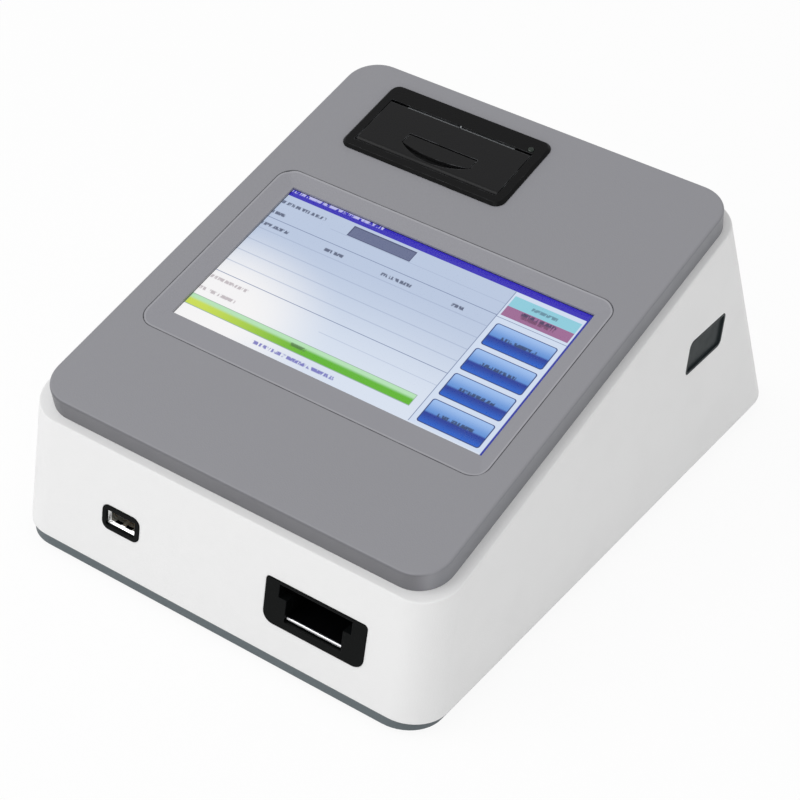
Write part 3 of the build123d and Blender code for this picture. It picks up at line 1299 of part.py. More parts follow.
# The chassis is one folded plate: four posts hold the rods, a cheek holds the motor and a
# tab beside the rack holds the far end of the pinion's shaft.
chassis_top = chassis_z + CHASSIS_THICK
post_top = ROD_HEIGHT + EAR_HALF + POST_EDGE
cheek_x = CARD_X - CHASSIS_HALF
tab_x0 = CARD_X + DRIVE_WIDTH / 2 + GAP
with BuildPart() as reader_chassis:
    with BuildSketch(Plane.XY.offset(chassis_z)):
        with Locations((CARD_X, chassis_y0)):
            Rectangle(2 * CHASSIS_HALF, ROD_LENGTH, align=(Align.CENTER, Align.MIN))
    extrude(amount=CHASSIS_THICK)
    for post_y in (chassis_y0, chassis_y1 - POST_THICK):
        with BuildSketch(upright_plane(post_y)):
            for rod_x, rod_z in rod_points:
                with Locations((rod_x, chassis_z)):
                    Rectangle(POST_WIDTH, post_top - chassis_z, align=(Align.CENTER, Align.MIN))
        extrude(amount=-POST_THICK)
        with BuildSketch(upright_plane(post_y)):
            with Locations(*rod_points):
                Circle(ROD_RADIUS)
        extrude(amount=-POST_THICK, mode=Mode.SUBTRACT)
    with BuildSketch(Plane.YZ.offset(cheek_x)):
        with Locations((drive_y, chassis_z)):
            Rectangle(
                2 * (MOTOR_RADIUS + MOTOR_RIM), drive_z + MOTOR_RADIUS - chassis_z,
                align=(Align.CENTER, Align.MIN),
            )
        with Locations((drive_y, drive_z)):
            Circle(2 * MOTOR_SHAFT_RADIUS, mode=Mode.SUBTRACT)
    extrude(amount=CHASSIS_THICK)
    with BuildSketch(Plane.YZ.offset(tab_x0)):
        with Locations((drive_y, chassis_z)):
            Rectangle(
                TAB_WIDTH, drive_z + 2 * MOTOR_SHAFT_RADIUS - chassis_z,
                align=(Align.CENTER, Align.MIN),
            )
        with Locations((drive_y, drive_z)):
            Circle(MOTOR_SHAFT_RADIUS + RUNNING, mode=Mode.SUBTRACT)
    extrude(amount=CHASSIS_THICK)
    with BuildSketch(Plane.XY.offset(chassis_z)):
        with Locations((CARD_X, (chassis_y0 + drive_y) / 2)):
            RectangleRounded(CARRIAGE_WIDTH - POST_WIDTH, CARRIAGE_WIDTH, POST_THICK)
    extrude(amount=CHASSIS_THICK, mode=Mode.SUBTRACT)
reader_chassis.part.label = "reader_chassis"
export_step(reader_chassis.part, "parts/reader_chassis.step")

drive_face = gear_face(DRIVE_TEETH, RACK_MODULE, 90 + 180 / DRIVE_TEETH)
with BuildPart() as drive_pinion:
    with BuildSketch(side_plane(CARD_X - DRIVE_WIDTH / 2, drive_y, drive_z)):
        add(drive_face)
    extrude(amount=DRIVE_WIDTH)
    with BuildSketch(side_plane(cheek_x - MOTOR_LENGTH, drive_y, drive_z)):
        Circle(MOTOR_SHAFT_RADIUS)
    extrude(amount=tab_x0 + CHASSIS_THICK - cheek_x + MOTOR_LENGTH)
drive_pinion.part.label = "drive_pinion"
export_step(drive_pinion.part, "parts/drive_pinion.step")

with BuildPart() as drive_motor:
    with BuildSketch(side_plane(cheek_x, drive_y, drive_z)):
        Circle(MOTOR_RADIUS)
        Circle(MOTOR_SHAFT_RADIUS + RUNNING, mode=Mode.SUBTRACT)
    extrude(amount=-MOTOR_LENGTH)
drive_motor.part.label = "drive_motor"
export_step(drive_motor.part, "parts/drive_motor.step")

# ---------------------------------------------------------------- optics
optics_y = carriage_y0 + OPTICS_BACK
leg_x = CHASSIS_HALF - BRIDGE_THICK
block_z = BRIDGE_HEIGHT - OPTICS_DROP
with BuildPart() as optics_bridge:
    with BuildSketch(upright_plane(optics_y - BRIDGE_LENGTH / 2)):
        with Locations((CARD_X, chassis_top)):
            Rectangle(
                2 * CHASSIS_HALF, BRIDGE_HEIGHT - chassis_top, align=(Align.CENTER, Align.MIN)
            )
            Rectangle(
                2 * leg_x, BRIDGE_HEIGHT - BRIDGE_THICK - chassis_top,
                align=(Align.CENTER, Align.MIN), mode=Mode.SUBTRACT,
            )
    extrude(amount=-BRIDGE_LENGTH)
    with BuildSketch(Plane.XY.offset(BRIDGE_HEIGHT - BRIDGE_THICK)):
        with Locations((CARD_X, optics_y)):
            Rectangle(OPTICS_SIDE + 2 * FIT, OPTICS_SIDE + 2 * FIT)
    extrude(amount=BRIDGE_THICK, mode=Mode.SUBTRACT)
optics_bridge.part.label = "optics_bridge"
export_step(optics_bridge.part, "parts/optics_bridge.step")

block_top = BRIDGE_HEIGHT + OPTICS_RISE
with BuildPart() as optics_block:
    with BuildSketch(Plane.XY.offset(block_z)):
        with Locations((CARD_X, optics_y)):
            Rectangle(OPTICS_SIDE, OPTICS_SIDE)
    extrude(amount=block_top - block_z)
    with BuildSketch(Plane.XY.offset(BRIDGE_HEIGHT)):
        with Locations((CARD_X, optics_y)):
            Rectangle(OPTICS_SIDE + OPTICS_LAP, OPTICS_SIDE + OPTICS_LAP)
    extrude(amount=BRIDGE_THICK)
    with BuildSketch(Plane.XY.offset(block_z)):
        with Locations((CARD_X, optics_y)):
            Circle(BARREL_RADIUS)
        with Locations((CARD_X + LAMP_OFFSET, optics_y)):
            Circle(LAMP_RADIUS + FIT)
    extrude(amount=block_top - block_z, mode=Mode.SUBTRACT)
    with BuildSketch(Plane.XY.offset(block_z)):
        with Locations((CARD_X, optics_y)):
            Circle(LENS_RADIUS + RUNNING)
    extrude(amount=LENS_THICK, mode=Mode.SUBTRACT)
optics_block.part.label = "optics_block"
export_step(optics_block.part, "parts/optics_block.step")

lens_sag = LENS_THICK / 2
lens_sphere = (LENS_RADIUS ** 2 + lens_sag ** 2) / (2 * lens_sag)
lens_angle = math.degrees(math.asin(LENS_RADIUS / lens_sphere))
with BuildPart() as objective_lens:
    with BuildSketch(upright_plane(optics_y)):
        with BuildLine():
            face_arc = CenterArc((CARD_X, block_z + lens_sphere), lens_sphere, -90, lens_angle)
            Polyline(
                face_arc @ 1,
                (CARD_X + LENS_RADIUS, block_z + LENS_THICK),
                (CARD_X, block_z + LENS_THICK),
                face_arc @ 0,
            )
        make_face()
    revolve(axis=Axis((CARD_X, optics_y, 0), (0, 0, 1)))
objective_lens.part.label = "objective_lens"
export_step(objective_lens.part, "parts/objective_lens.step")

with BuildPart() as excitation_lamp:
    with BuildSketch(Plane.XY.offset(block_top)):
        with Locations((CARD_X + LAMP_OFFSET, optics_y)):
            Circle(LAMP_RADIUS)
    extrude(amount=-LAMP_LENGTH)
    fillet(excitation_lamp.edges().sort_by(Axis.Z)[0], LAMP_DOME)
excitation_lamp.part.label = "excitation_lamp"
export_step(excitation_lamp.part, "parts/excitation_lamp.step")

with BuildPart() as detector_board:
    with BuildSketch(Plane.XY.offset(block_top)):
        with Locations((CARD_X, optics_y)):
            Rectangle(OPTICS_SIDE + OPTICS_LAP, OPTICS_SIDE)
    extrude(amount=BOARD_THICK)
    with BuildSketch(Plane.XY.offset(block_top + BOARD_THICK)):
        with Locations((CARD_X, optics_y)):
            Rectangle(OPTICS_SIDE / 3, OPTICS_SIDE / 3)
    extrude(amount=CHIP_THICK)
detector_board.part.label = "detector_board"
export_step(detector_board.part, "parts/detector_board.step")

with BuildPart() as home_sensor:
    with BuildSketch(Plane.XY.offset(chassis_top)):
        with Locations((CARD_X - ROD_SPREAD, chassis_y0 + POST_THICK)):
            Rectangle(SENSOR_SIDE, SENSOR_SIDE, align=(Align.CENTER, Align.MIN))
    extrude(amount=SENSOR_SIDE)
    with BuildSketch(Plane.XY.offset(chassis_top + SENSOR_SIDE / 2)):
        with Locations((CARD_X - ROD_SPREAD, chassis_y0 + POST_THICK)):
            Rectangle(SENSOR_SIDE / 4, SENSOR_SIDE, align=(Align.CENTER, Align.MIN))
    extrude(amount=SENSOR_SIDE, mode=Mode.SUBTRACT)
home_sensor.part.label = "home_sensor"
export_step(home_sensor.part, "parts/home_sensor.step")

# ---------------------------------------------------------------- chip socket
mouth_y = front_y + SOCKET_SET_BACK + (SOCKET_Z - shell_z) * front_lean
outer_width = SOCKET_WIDTH + 2 * SOCKET_WALL
outer_height = SOCKET_HEIGHT + 2 * SOCKET_WALL
flare_width = outer_width + 2 * SOCKET_FLARE
flare_height = outer_height + 2 * SOCKET_FLARE
tube_y = mouth_y + SOCKET_FLARE_LENGTH
with BuildPart() as chip_socket_frame:
    with BuildSketch(front_wall.offset(SOCKET_PROUD)):
        with Locations((SOCKET_X, SOCKET_Z - shell_z)):
            RectangleRounded(SOCKET_FRAME_WIDTH, SOCKET_FRAME_HEIGHT, SOCKET_FRAME_CORNER)
    extrude(amount=-SHELL_WALL - 2 * SOCKET_PROUD)
    chamfer(chip_socket_frame.faces().sort_by(Axis.Y)[0].edges(), SOCKET_PROUD / 2)
    with BuildSketch(front_wall.offset(-SHELL_WALL - FIT)):
        with Locations((SOCKET_X, SOCKET_Z - shell_z)):
            RectangleRounded(
                SOCKET_FRAME_WIDTH + 2 * SLOT_LAP,
                SOCKET_FRAME_HEIGHT + SLOT_LAP,
                SOCKET_FRAME_CORNER,
            )
    extrude(amount=-SLOT_FLANGE)
    with BuildSketch(upright_plane(front_y - OVERRUN)):
        with Locations((SOCKET_X, SOCKET_Z)):
            Rectangle(flare_width + 2 * FIT, flare_height + 2 * FIT)
    extrude(amount=-(tube_y - front_y + OVERRUN), mode=Mode.SUBTRACT)
    with BuildSketch(upright_plane(front_y - OVERRUN)):
        with Locations((SOCKET_X, SOCKET_Z)):
            Rectangle(outer_width + 2 * FIT, outer_height + 2 * FIT)
    extrude(amount=-2 * SLOT_BEZEL_DEPTH, mode=Mode.SUBTRACT)
chip_socket_frame.part.label = "chip_socket_frame"
export_step(chip_socket_frame.part, "parts/chip_socket_frame.step")

with BuildPart() as chip_socket_shell:
    with BuildSketch(upright_plane(tube_y)):
        with Locations((SOCKET_X, SOCKET_Z)):
            Rectangle(outer_width, outer_height)
    with BuildSketch(upright_plane(mouth_y)):
        with Locations((SOCKET_X, SOCKET_Z)):
            Rectangle(flare_width, flare_height)
    loft(ruled=True)
    with BuildSketch(upright_plane(tube_y)):
        with Locations((SOCKET_X, SOCKET_Z)):
            Rectangle(outer_width, outer_height)
    extrude(amount=-SOCKET_LENGTH)
    with BuildSketch(upright_plane(tube_y)):
        with Locations((SOCKET_X, SOCKET_Z)):
            Rectangle(SOCKET_WIDTH, SOCKET_HEIGHT)
    with BuildSketch(upright_plane(mouth_y)):
        with Locations((SOCKET_X, SOCKET_Z)):
            Rectangle(flare_width - 2 * SOCKET_WALL, flare_height - 2 * SOCKET_WALL)
    loft(ruled=True, mode=Mode.SUBTRACT)
    with BuildSketch(upright_plane(tube_y)):
        with Locations((SOCKET_X, SOCKET_Z)):
            Rectangle(SOCKET_WIDTH, SOCKET_HEIGHT)
    extrude(amount=-SOCKET_LENGTH, mode=Mode.SUBTRACT)
chip_socket_shell.part.label = "chip_socket_shell"
export_step(chip_socket_shell.part, "parts/chip_socket_shell.step")

socket_end_y = tube_y + SOCKET_LENGTH
tongue_z = SOCKET_Z + TONGUE_LIFT
with BuildPart() as chip_socket_tongue:
    with BuildSketch(upright_plane(socket_end_y)):
        with Locations((SOCKET_X, SOCKET_Z)):
            Rectangle(SOCKET_WIDTH - 2 * RUNNING, SOCKET_HEIGHT - 2 * RUNNING)
    extrude(amount=SOCKET_BACK)
    with BuildSketch(upright_plane(mouth_y + TONGUE_BACK)):
        with Locations((SOCKET_X, tongue_z)):
            Rectangle(TONGUE_WIDTH, TONGUE_THICK, align=(Align.CENTER, Align.MIN))
    extrude(amount=-(socket_end_y - mouth_y - TONGUE_BACK))
chip_socket_tongue.part.label = "chip_socket_tongue"
export_step(chip_socket_tongue.part, "parts/chip_socket_tongue.step")

with BuildPart() as chip_socket_contacts:
    with BuildSketch(upright_plane(mouth_y + TONGUE_BACK + CONTACT_BACK)):
        with Locations((SOCKET_X, tongue_z)):
            with GridLocations(CONTACT_PITCH, 0, CONTACTS, 1):
                Rectangle(CONTACT_WIDTH, CONTACT_THICK, align=(Align.CENTER, Align.MAX))
    extrude(amount=-CONTACT_LENGTH)
chip_socket_contacts.part.label = "chip_socket_contacts"
export_step(chip_socket_contacts.part, "parts/chip_socket_contacts.step")

with BuildPart() as chip_socket_board:
    with BuildSketch(Plane.XY.offset(socket_board_z)):
        with Locations((SOCKET_X, socket_board_y0)):
            Rectangle(
                2 * SOCKET_BOARD_HALF,
                socket_board_y1 - socket_board_y0,
                align=(Align.CENTER, Align.MIN),
            )
    extrude(amount=BOARD_THICK)
    with BuildSketch(Plane.XY.offset(socket_board_z + BOARD_THICK)):
        with Locations((SOCKET_X, socket_board_y1 - PIN_INSET)):
            Rectangle(PLUG_WIDTH, PLUG_DEPTH)
    extrude(amount=PLUG_DEPTH)
chip_socket_board.part.label = "chip_socket_board"
export_step(chip_socket_board.part, "parts/chip_socket_board.step")

# ---------------------------------------------------------------- side insert
with BuildPart() as side_insert:
    with BuildSketch(right_wall):
        with Locations((INSERT_Y, INSERT_Z - shell_z)):
            RectangleRounded(INSERT_WIDTH, INSERT_HEIGHT, INSERT_CORNER)
    extrude(amount=-SHELL_WALL - FIT)
    with BuildSketch(right_wall.offset(-SHELL_WALL - FIT)):
        with Locations((INSERT_Y, INSERT_Z - shell_z)):
            RectangleRounded(
                INSERT_WIDTH + 2 * INSERT_LAP, INSERT_HEIGHT + 2 * INSERT_LAP, INSERT_CORNER
            )
    extrude(amount=-INSERT_FLOOR)
    with BuildSketch(right_wall):
        with Locations((INSERT_Y, INSERT_Z - shell_z)):
            RectangleRounded(
                INSERT_WIDTH - 2 * INSERT_RIM,
                INSERT_HEIGHT - 2 * INSERT_RIM,
                INSERT_CORNER - INSERT_RIM,
            )
    extrude(amount=-INSERT_DEPTH, mode=Mode.SUBTRACT)
side_insert.part.label = "side_insert"
export_step(side_insert.part, "parts/side_insert.step")

# ---------------------------------------------------------------- rear ports
# The bay is a box let into the leaning rear wall and trimmed flush with it, so that the
# ports on its upright inner wall face straight back.
bay_inner_y = bay_y + BAY_WALL
port_top = PORT_BOARD_Z + BOARD_THICK
network_z = port_top + NETWORK_HEIGHT / 2
inlet_z = port_top + INLET_HEIGHT / 2
with BuildPart() as rear_port_bay:
    with BuildSketch(upright_plane(bay_y)):
        with Locations((0, bay_z)):
            Rectangle(2 * BAY_HALF, BAY_HEIGHT)
    extrude(amount=-BAY_DEPTH)
    with BuildSketch(upright_plane(bay_inner_y)):
        with Locations((0, bay_z)):
            Rectangle(2 * (BAY_HALF - BAY_WALL), BAY_HEIGHT - 2 * BAY_WALL)
    extrude(amount=-BAY_DEPTH, mode=Mode.SUBTRACT)
    add(shell_outer.part, mode=Mode.INTERSECT)
    with BuildSketch(upright_plane(bay_y)):
        with Locations((SWITCH_X, bay_z)):
            Rectangle(SWITCH_BODY_WIDTH + 2 * FIT, SWITCH_BODY_HEIGHT + 2 * FIT)
        with Locations((NETWORK_X, network_z)):
            Rectangle(NETWORK_WIDTH + 2 * FIT, NETWORK_HEIGHT + 2 * FIT)
        with Locations((INLET_X, inlet_z)):
            Rectangle(INLET_WIDTH + 2 * FIT, INLET_HEIGHT + 2 * FIT)
    extrude(amount=-BAY_WALL, mode=Mode.SUBTRACT)
rear_port_bay.part.label = "rear_port_bay"
export_step(rear_port_bay.part, "parts/rear_port_bay.step")

with BuildPart() as rear_port_board:
    with BuildSketch(Plane.XY.offset(PORT_BOARD_Z)):
        with Locations((0, port_board_y1)):
            Rectangle(2 * PORT_BOARD_HALF, PORT_BOARD_LENGTH, align=(Align.CENTER, Align.MAX))
    extrude(amount=BOARD_THICK)
rear_port_board.part.label = "rear_port_board"
export_step(rear_port_board.part, "parts/rear_port_board.step")

with BuildPart() as network_socket:
    with BuildSketch(upright_plane(bay_inner_y)):
        with Locations((NETWORK_X, network_z)):
            Rectangle(NETWORK_WIDTH, NETWORK_HEIGHT)
    extrude(amount=NETWORK_LENGTH)
    with BuildSketch(upright_plane(bay_inner_y)):
        with Locations((NETWORK_X, network_z)):
            Rectangle(NETWORK_BORE_WIDTH, NETWORK_BORE_HEIGHT)
    extrude(amount=NETWORK_LENGTH - SOCKET_BACK, mode=Mode.SUBTRACT)
network_socket.part.label = "network_socket"
export_step(network_socket.part, "parts/network_socket.step")

with BuildPart() as dc_inlet:
    with BuildSketch(upright_plane(bay_inner_y)):
        with Locations((INLET_X, inlet_z)):
            Rectangle(INLET_WIDTH, INLET_HEIGHT)
    extrude(amount=INLET_LENGTH)
    with BuildSketch(upright_plane(bay_inner_y)):
        with Locations((INLET_X, inlet_z)):
            Circle(INLET_BORE)
            Circle(INLET_PIN, mode=Mode.SUBTRACT)
    extrude(amount=INLET_LENGTH - SOCKET_BACK, mode=Mode.SUBTRACT)
dc_inlet.part.label = "dc_inlet"
export_step(dc_inlet.part, "parts/dc_inlet.step")

rocker_y = bay_inner_y - ROCKER_SET_IN
rocker_z = bay_z
cavity_width = SWITCH_BODY_WIDTH - 2 * SWITCH_WALL
cavity_height = SWITCH_BODY_HEIGHT - 4 * SWITCH_WALL
with BuildPart() as switch_frame:
    with BuildSketch(upright_plane(bay_inner_y)):
        with Locations((SWITCH_X, bay_z)):
            Rectangle(SWITCH_WIDTH, SWITCH_HEIGHT)
    extrude(amount=-SWITCH_FLANGE)
    with BuildSketch(upright_plane(bay_inner_y)):
        with Locations((SWITCH_X, bay_z)):
            Rectangle(SWITCH_BODY_WIDTH, SWITCH_BODY_HEIGHT)
    extrude(amount=SWITCH_BODY_DEPTH)
    with BuildSketch(upright_plane(bay_inner_y + SWITCH_FLANGE)):
        with Locations((SWITCH_X, bay_z)):
            Rectangle(cavity_width, cavity_height)
    extrude(amount=SWITCH_BODY_DEPTH, mode=Mode.SUBTRACT)
    with BuildSketch(Plane.YZ.offset(SWITCH_X)):
        with Locations((rocker_y, rocker_z)):
            Circle(ROCKER_PIN_RADIUS)
    extrude(amount=SWITCH_BODY_WIDTH / 2, both=True, mode=Mode.SUBTRACT)
switch_frame.part.label = "switch_frame"
export_step(switch_frame.part, "parts/switch_frame.step")

tilt_plane = Plane(
    origin=(SWITCH_X, rocker_y, rocker_z),
    x_dir=(0, math.sin(math.radians(ROCKER_TILT)), math.cos(math.radians(ROCKER_TILT))),
    z_dir=(-1, 0, 0),
)
with BuildPart() as power_rocker:
    with BuildSketch(tilt_plane):
        with BuildLine():
            Polyline(
                (-ROCKER_REACH, ROCKER_FACE),
                (0, ROCKER_DISH),
                (ROCKER_REACH, ROCKER_FACE),
                (ROCKER_REACH - ROCKER_EDGE, -ROCKER_EDGE),
                (ROCKER_BELLY_HALF, -ROCKER_BELLY),
                (-ROCKER_BELLY_HALF, -ROCKER_BELLY),
                (ROCKER_EDGE - ROCKER_REACH, -ROCKER_EDGE),
                close=True,
            )
        make_face()
        Circle(ROCKER_PIN_RADIUS + RUNNING, mode=Mode.SUBTRACT)
    extrude(amount=ROCKER_WIDTH / 2, both=True)
power_rocker.part.label = "power_rocker"
export_step(power_rocker.part, "parts/power_rocker.step")

with BuildPart() as rocker_pin:
    with BuildSketch(Plane.YZ.offset(SWITCH_X)):
        with Locations((rocker_y, rocker_z)):
            Circle(ROCKER_PIN_RADIUS)
    extrude(amount=SWITCH_BODY_WIDTH / 2, both=True)
rocker_pin.part.label = "rocker_pin"
export_step(rocker_pin.part, "parts/rocker_pin.step")

# ---------------------------------------------------------------- power board and speaker
with BuildPart() as power_board:
    with BuildSketch(Plane.XY.offset(POWER_BOARD_Z)):
        with Locations((POWER_BOARD_X, POWER_BOARD_Y)):
            Rectangle(POWER_BOARD_WIDTH, POWER_BOARD_LENGTH)
    extrude(amount=BOARD_THICK)
    with BuildSketch(Plane.XY.offset(POWER_BOARD_Z + BOARD_THICK)):
        with Locations((POWER_BOARD_X - CHIP_SIDE, POWER_BOARD_Y)):
            Rectangle(PLUG_WIDTH, CHIP_SIDE)
        with Locations((POWER_BOARD_X + CHIP_SIDE, POWER_BOARD_Y)):
            Circle(CHIP_SIDE / 3)
    extrude(amount=CHIP_SIDE)
power_board.part.label = "power_board"
export_step(power_board.part, "parts/power_board.step")

with BuildPart() as speaker:
    with BuildSketch(Plane.XY.offset(floor_z)):
        with Locations((SPEAKER_X, SPEAKER_Y)):
            Circle(SPEAKER_RADIUS)
    extrude(amount=SPEAKER_HEIGHT)
    chamfer(speaker.edges().group_by(Axis.Z)[-1], SPEAKER_HEIGHT / 3)
speaker.part.label = "speaker"
export_step(speaker.part, "parts/speaker.step")
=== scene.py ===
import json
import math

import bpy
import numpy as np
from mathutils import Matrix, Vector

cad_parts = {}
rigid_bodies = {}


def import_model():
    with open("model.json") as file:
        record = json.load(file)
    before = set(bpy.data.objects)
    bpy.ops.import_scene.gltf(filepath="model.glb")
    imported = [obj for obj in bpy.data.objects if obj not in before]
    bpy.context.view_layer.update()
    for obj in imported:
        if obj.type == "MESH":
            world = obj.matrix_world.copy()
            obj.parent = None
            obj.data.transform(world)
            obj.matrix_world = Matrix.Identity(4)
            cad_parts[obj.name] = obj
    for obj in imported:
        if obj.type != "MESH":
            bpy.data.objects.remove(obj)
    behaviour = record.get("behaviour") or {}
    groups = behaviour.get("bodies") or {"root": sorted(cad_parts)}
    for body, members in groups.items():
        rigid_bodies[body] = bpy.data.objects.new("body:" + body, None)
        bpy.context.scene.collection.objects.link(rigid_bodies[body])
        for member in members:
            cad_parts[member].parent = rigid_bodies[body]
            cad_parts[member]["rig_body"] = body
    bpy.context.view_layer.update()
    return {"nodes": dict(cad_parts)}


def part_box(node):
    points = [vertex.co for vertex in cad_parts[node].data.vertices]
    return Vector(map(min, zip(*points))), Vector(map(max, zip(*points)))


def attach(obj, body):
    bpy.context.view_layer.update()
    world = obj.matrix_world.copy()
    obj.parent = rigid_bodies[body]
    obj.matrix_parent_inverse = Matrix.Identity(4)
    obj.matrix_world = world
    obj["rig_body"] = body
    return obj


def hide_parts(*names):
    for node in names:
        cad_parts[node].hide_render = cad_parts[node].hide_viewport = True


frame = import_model()

# Looks of a desktop rapid test reader: moulded white housing on a dark tray, a grey sloping
# cover with a colour touch display, a black panel printer, a test card slot and a chip socket.
# Lengths are metres in the frame of the solids. Colours are written as a screen shows them,
# from 0 to 255.

MM = 0.001
SLOPE = math.radians(17.0)           # how far the cover leans back from level
COVER_FRONT = -160.536 * MM          # y of the cover's lower edge, where v is nought
COVER_FOOT = 76.3 * MM               # z of the same edge
SMOOTH_BELOW = math.radians(32.0)    # facets that meet at less than this are one curved face
WELD = 0.004 * MM                    # corners that fall in one cell of this size become one
GLASS_RISE = 1.66 * MM               # how far the touch glass's underside is raised
DISPLAY_RISE = 1.6 * MM              # and the display panel's upper side, nearer to the window
WHITE = (1.0, 1.0, 1.0, 1.0)
X, Y, Z = (1.0, 0.0, 0.0), (0.0, 1.0, 0.0), (0.0, 0.0, 1.0)

# Where the display's picture lies on the cover, in the cover's own u and v in millimetres
PICTURE_LEFT = -78.34                # u of its left side
PICTURE_TOP = 155.29                 # v of its upper side

# The picture's layout and the surround's outline, in millimetres to the right of and below the
# picture's upper left corner
PAGE_TOP = 6.6
PAGE_FOOT = 89.0
LINE_PITCH = 7.6                     # from one ruled line of the page to the next
COLUMN = 121.0                       # where the right hand column of keys begins
COLUMN_END = 155.0
KEY_PITCH = 16.05
OFF_LEFT, OFF_RIGHT, OFF_TOP, OFF_FOOT = -6.0, 164.0, -6.0, 98.0    # past the window's edges
SURROUND = (-6.86, 163.84, -5.71, 103.29)                           # left, right, top, bottom
SURROUND_CORNER = 8.0


# --- numbers, colours and shaders -------------------------------------------------------------

def rgb(red, green, blue):
    """A colour as a screen shows it, turned into the linear values that a shader takes."""
    def linear(level):
        level = level / 255.0
        return level / 12.92 if level <= 0.04045 else ((level + 0.055) / 1.055) ** 2.4
    return (linear(red), linear(green), linear(blue), 1.0)


def scaled(colour, factor):
    """The colour made darker or lighter by a factor, at most full white."""
    return tuple(min(1.0, level * factor) for level in colour[:3]) + (1.0,)


class Value:
    """A number that changes over a surface: arithmetic on it adds Math nodes to its material."""

    def __init__(self, finish, socket):
        self.finish = finish
        self.socket = socket

    def math(self, operation, first, second=None):
        inputs = {0: first} if second is None else {0: first, 1: second}
        return self.finish.node("ShaderNodeMath", {"operation": operation}, inputs)

    def __add__(self, other):
        return self.math("ADD", self, other)

    def __sub__(self, other):
        return self.math("SUBTRACT", self, other)

    def __rsub__(self, other):
        return self.math("SUBTRACT", other, self)

    def __mul__(self, other):
        return self.math("MULTIPLY", self, other)

    def __truediv__(self, other):
        return self.math("DIVIDE", self, other)

    def __mod__(self, other):
        return self.math("FLOORED_MODULO", self, other)

    def __abs__(self):
        return self.math("ABSOLUTE", self)

    def __pow__(self, other):
        return self.math("POWER", self, other)

    __radd__ = __add__
    __rmul__ = __mul__

    def over(self, start, end):
        """Nought below start, one above end, and a smooth change between."""
        return self.finish.node(
            "ShaderNodeMapRange", {"interpolation_type": "SMOOTHSTEP", "clamp": True},
            {"Value": self, "From Min": start, "From Max": end, "To Min": 0.0, "To Max": 1.0})

    def greater(self, other):
        return self.math("MAXIMUM", self, other)

    def lesser(self, other):
        return self.math("MINIMUM", self, other)


class Finish:
    """One material while it is written: its node tree and the sockets of its Principled shader."""

    def __init__(self, name, roughness=0.5, metallic=0.0, **constants):
        self.material = bpy.data.materials.new(name)
        self.material.use_nodes = True
        self.tree = self.material.node_tree
        self.shader = self.tree.nodes["Principled BSDF"]
        self.shader.inputs["Roughness"].default_value = roughness
        self.shader.inputs["Metallic"].default_value = metallic
        for name, constant in constants.items():
            socket = name.replace("_", " ").title().replace("Ior", "IOR")
            self.shader.inputs[socket].default_value = constant

    def node(self, kind, settings, inputs, output=0):
        """Adds a node of that kind, sets it up, then fills its sockets with constants or links."""
        new = self.tree.nodes.new(kind)
        for setting, choice in settings.items():
            setattr(new, setting, choice)
        for key, given in inputs.items():
            socket = new.inputs[key]
            if isinstance(given, Value):
                self.tree.links.new(given.socket, socket)
            else:
                socket.default_value = given
        return Value(self, new.outputs[output])

    def place(self):
        """The point on the part, in metres in the frame of the solids."""
        return self.node("ShaderNodeTexCoord", {}, {}, "Object")

    def stretched(self, x, y, z):
        """The point with each axis scaled on its own, for grain that runs along one of them."""
        return self.node("ShaderNodeVectorMath", {"operation": "MULTIPLY"},
                         {0: self.place(), 1: (x, y, z)})

    def along(self, direction, origin=(0.0, 0.0, 0.0)):
        """How far the point lies from the origin along a direction, in metres."""
        offset = self.node("ShaderNodeVectorMath", {"operation": "SUBTRACT"},
                           {0: self.place(), 1: origin})
        return self.node("ShaderNodeVectorMath", {"operation": "DOT_PRODUCT"},
                         {0: offset, 1: direction}, "Value")

    def facing(self, direction):
        """One where the surface looks along a direction, nought where it looks across it."""
        normal = self.node("ShaderNodeNewGeometry", {}, {}, "Normal")
        return self.node("ShaderNodeVectorMath", {"operation": "DOT_PRODUCT"},
                         {0: normal, 1: direction}, "Value")

    def noise(self, scale, detail=2.0, rough=0.5, place=None):
        """Soft random patches, nought to one; scale is how many of them a metre holds."""
        return self.node("ShaderNodeTexNoise", {},
                         {"Vector": place or self.place(), "Scale": scale, "Detail": detail,
                          "Roughness": rough})

    def cells(self, scale):
        """Distance to the nearest of many scattered points; scale is how many a metre holds."""
        return self.node("ShaderNodeTexVoronoi", {}, {"Vector": self.place(), "Scale": scale})

    def rounded(self, radius):
        """The surface's direction as if its edges were rounded to that radius."""
        return self.node("ShaderNodeBevel", {"samples": 6}, {"Radius": radius})

    def edges(self, radius):
        """One on sharp edges and nought on open faces, a radius wide."""
        return (1.0 - self.facing(self.rounded(radius))).over(0.015, 0.22)

    def mix(self, below, above, factor):
        """The colour below, covered by the colour above where the factor is one."""
        return self.node("ShaderNodeMix", {"data_type": "RGBA"},
                         {0: factor, 6: below, 7: above}, 2)

    def colour(self, colour):
        self.set("Base Color", colour)

    def set(self, socket, value):
        """Feeds one of the shader's sockets with what changes over the surface."""
        self.tree.links.new(value.socket, self.shader.inputs[socket])

    def relief(self, height, depth, edge_radius=0.0):
        """Raises the surface by height, nought to one, times depth in metres, and eases its
        edges."""
        inputs = {"Height": height, "Distance": depth, "Strength": 1.0}
        if edge_radius:
            inputs["Normal"] = self.rounded(edge_radius)
        self.set("Normal", self.node("ShaderNodeBump", {}, inputs))


# --- finishes ---------------------------------------------------------------------------------

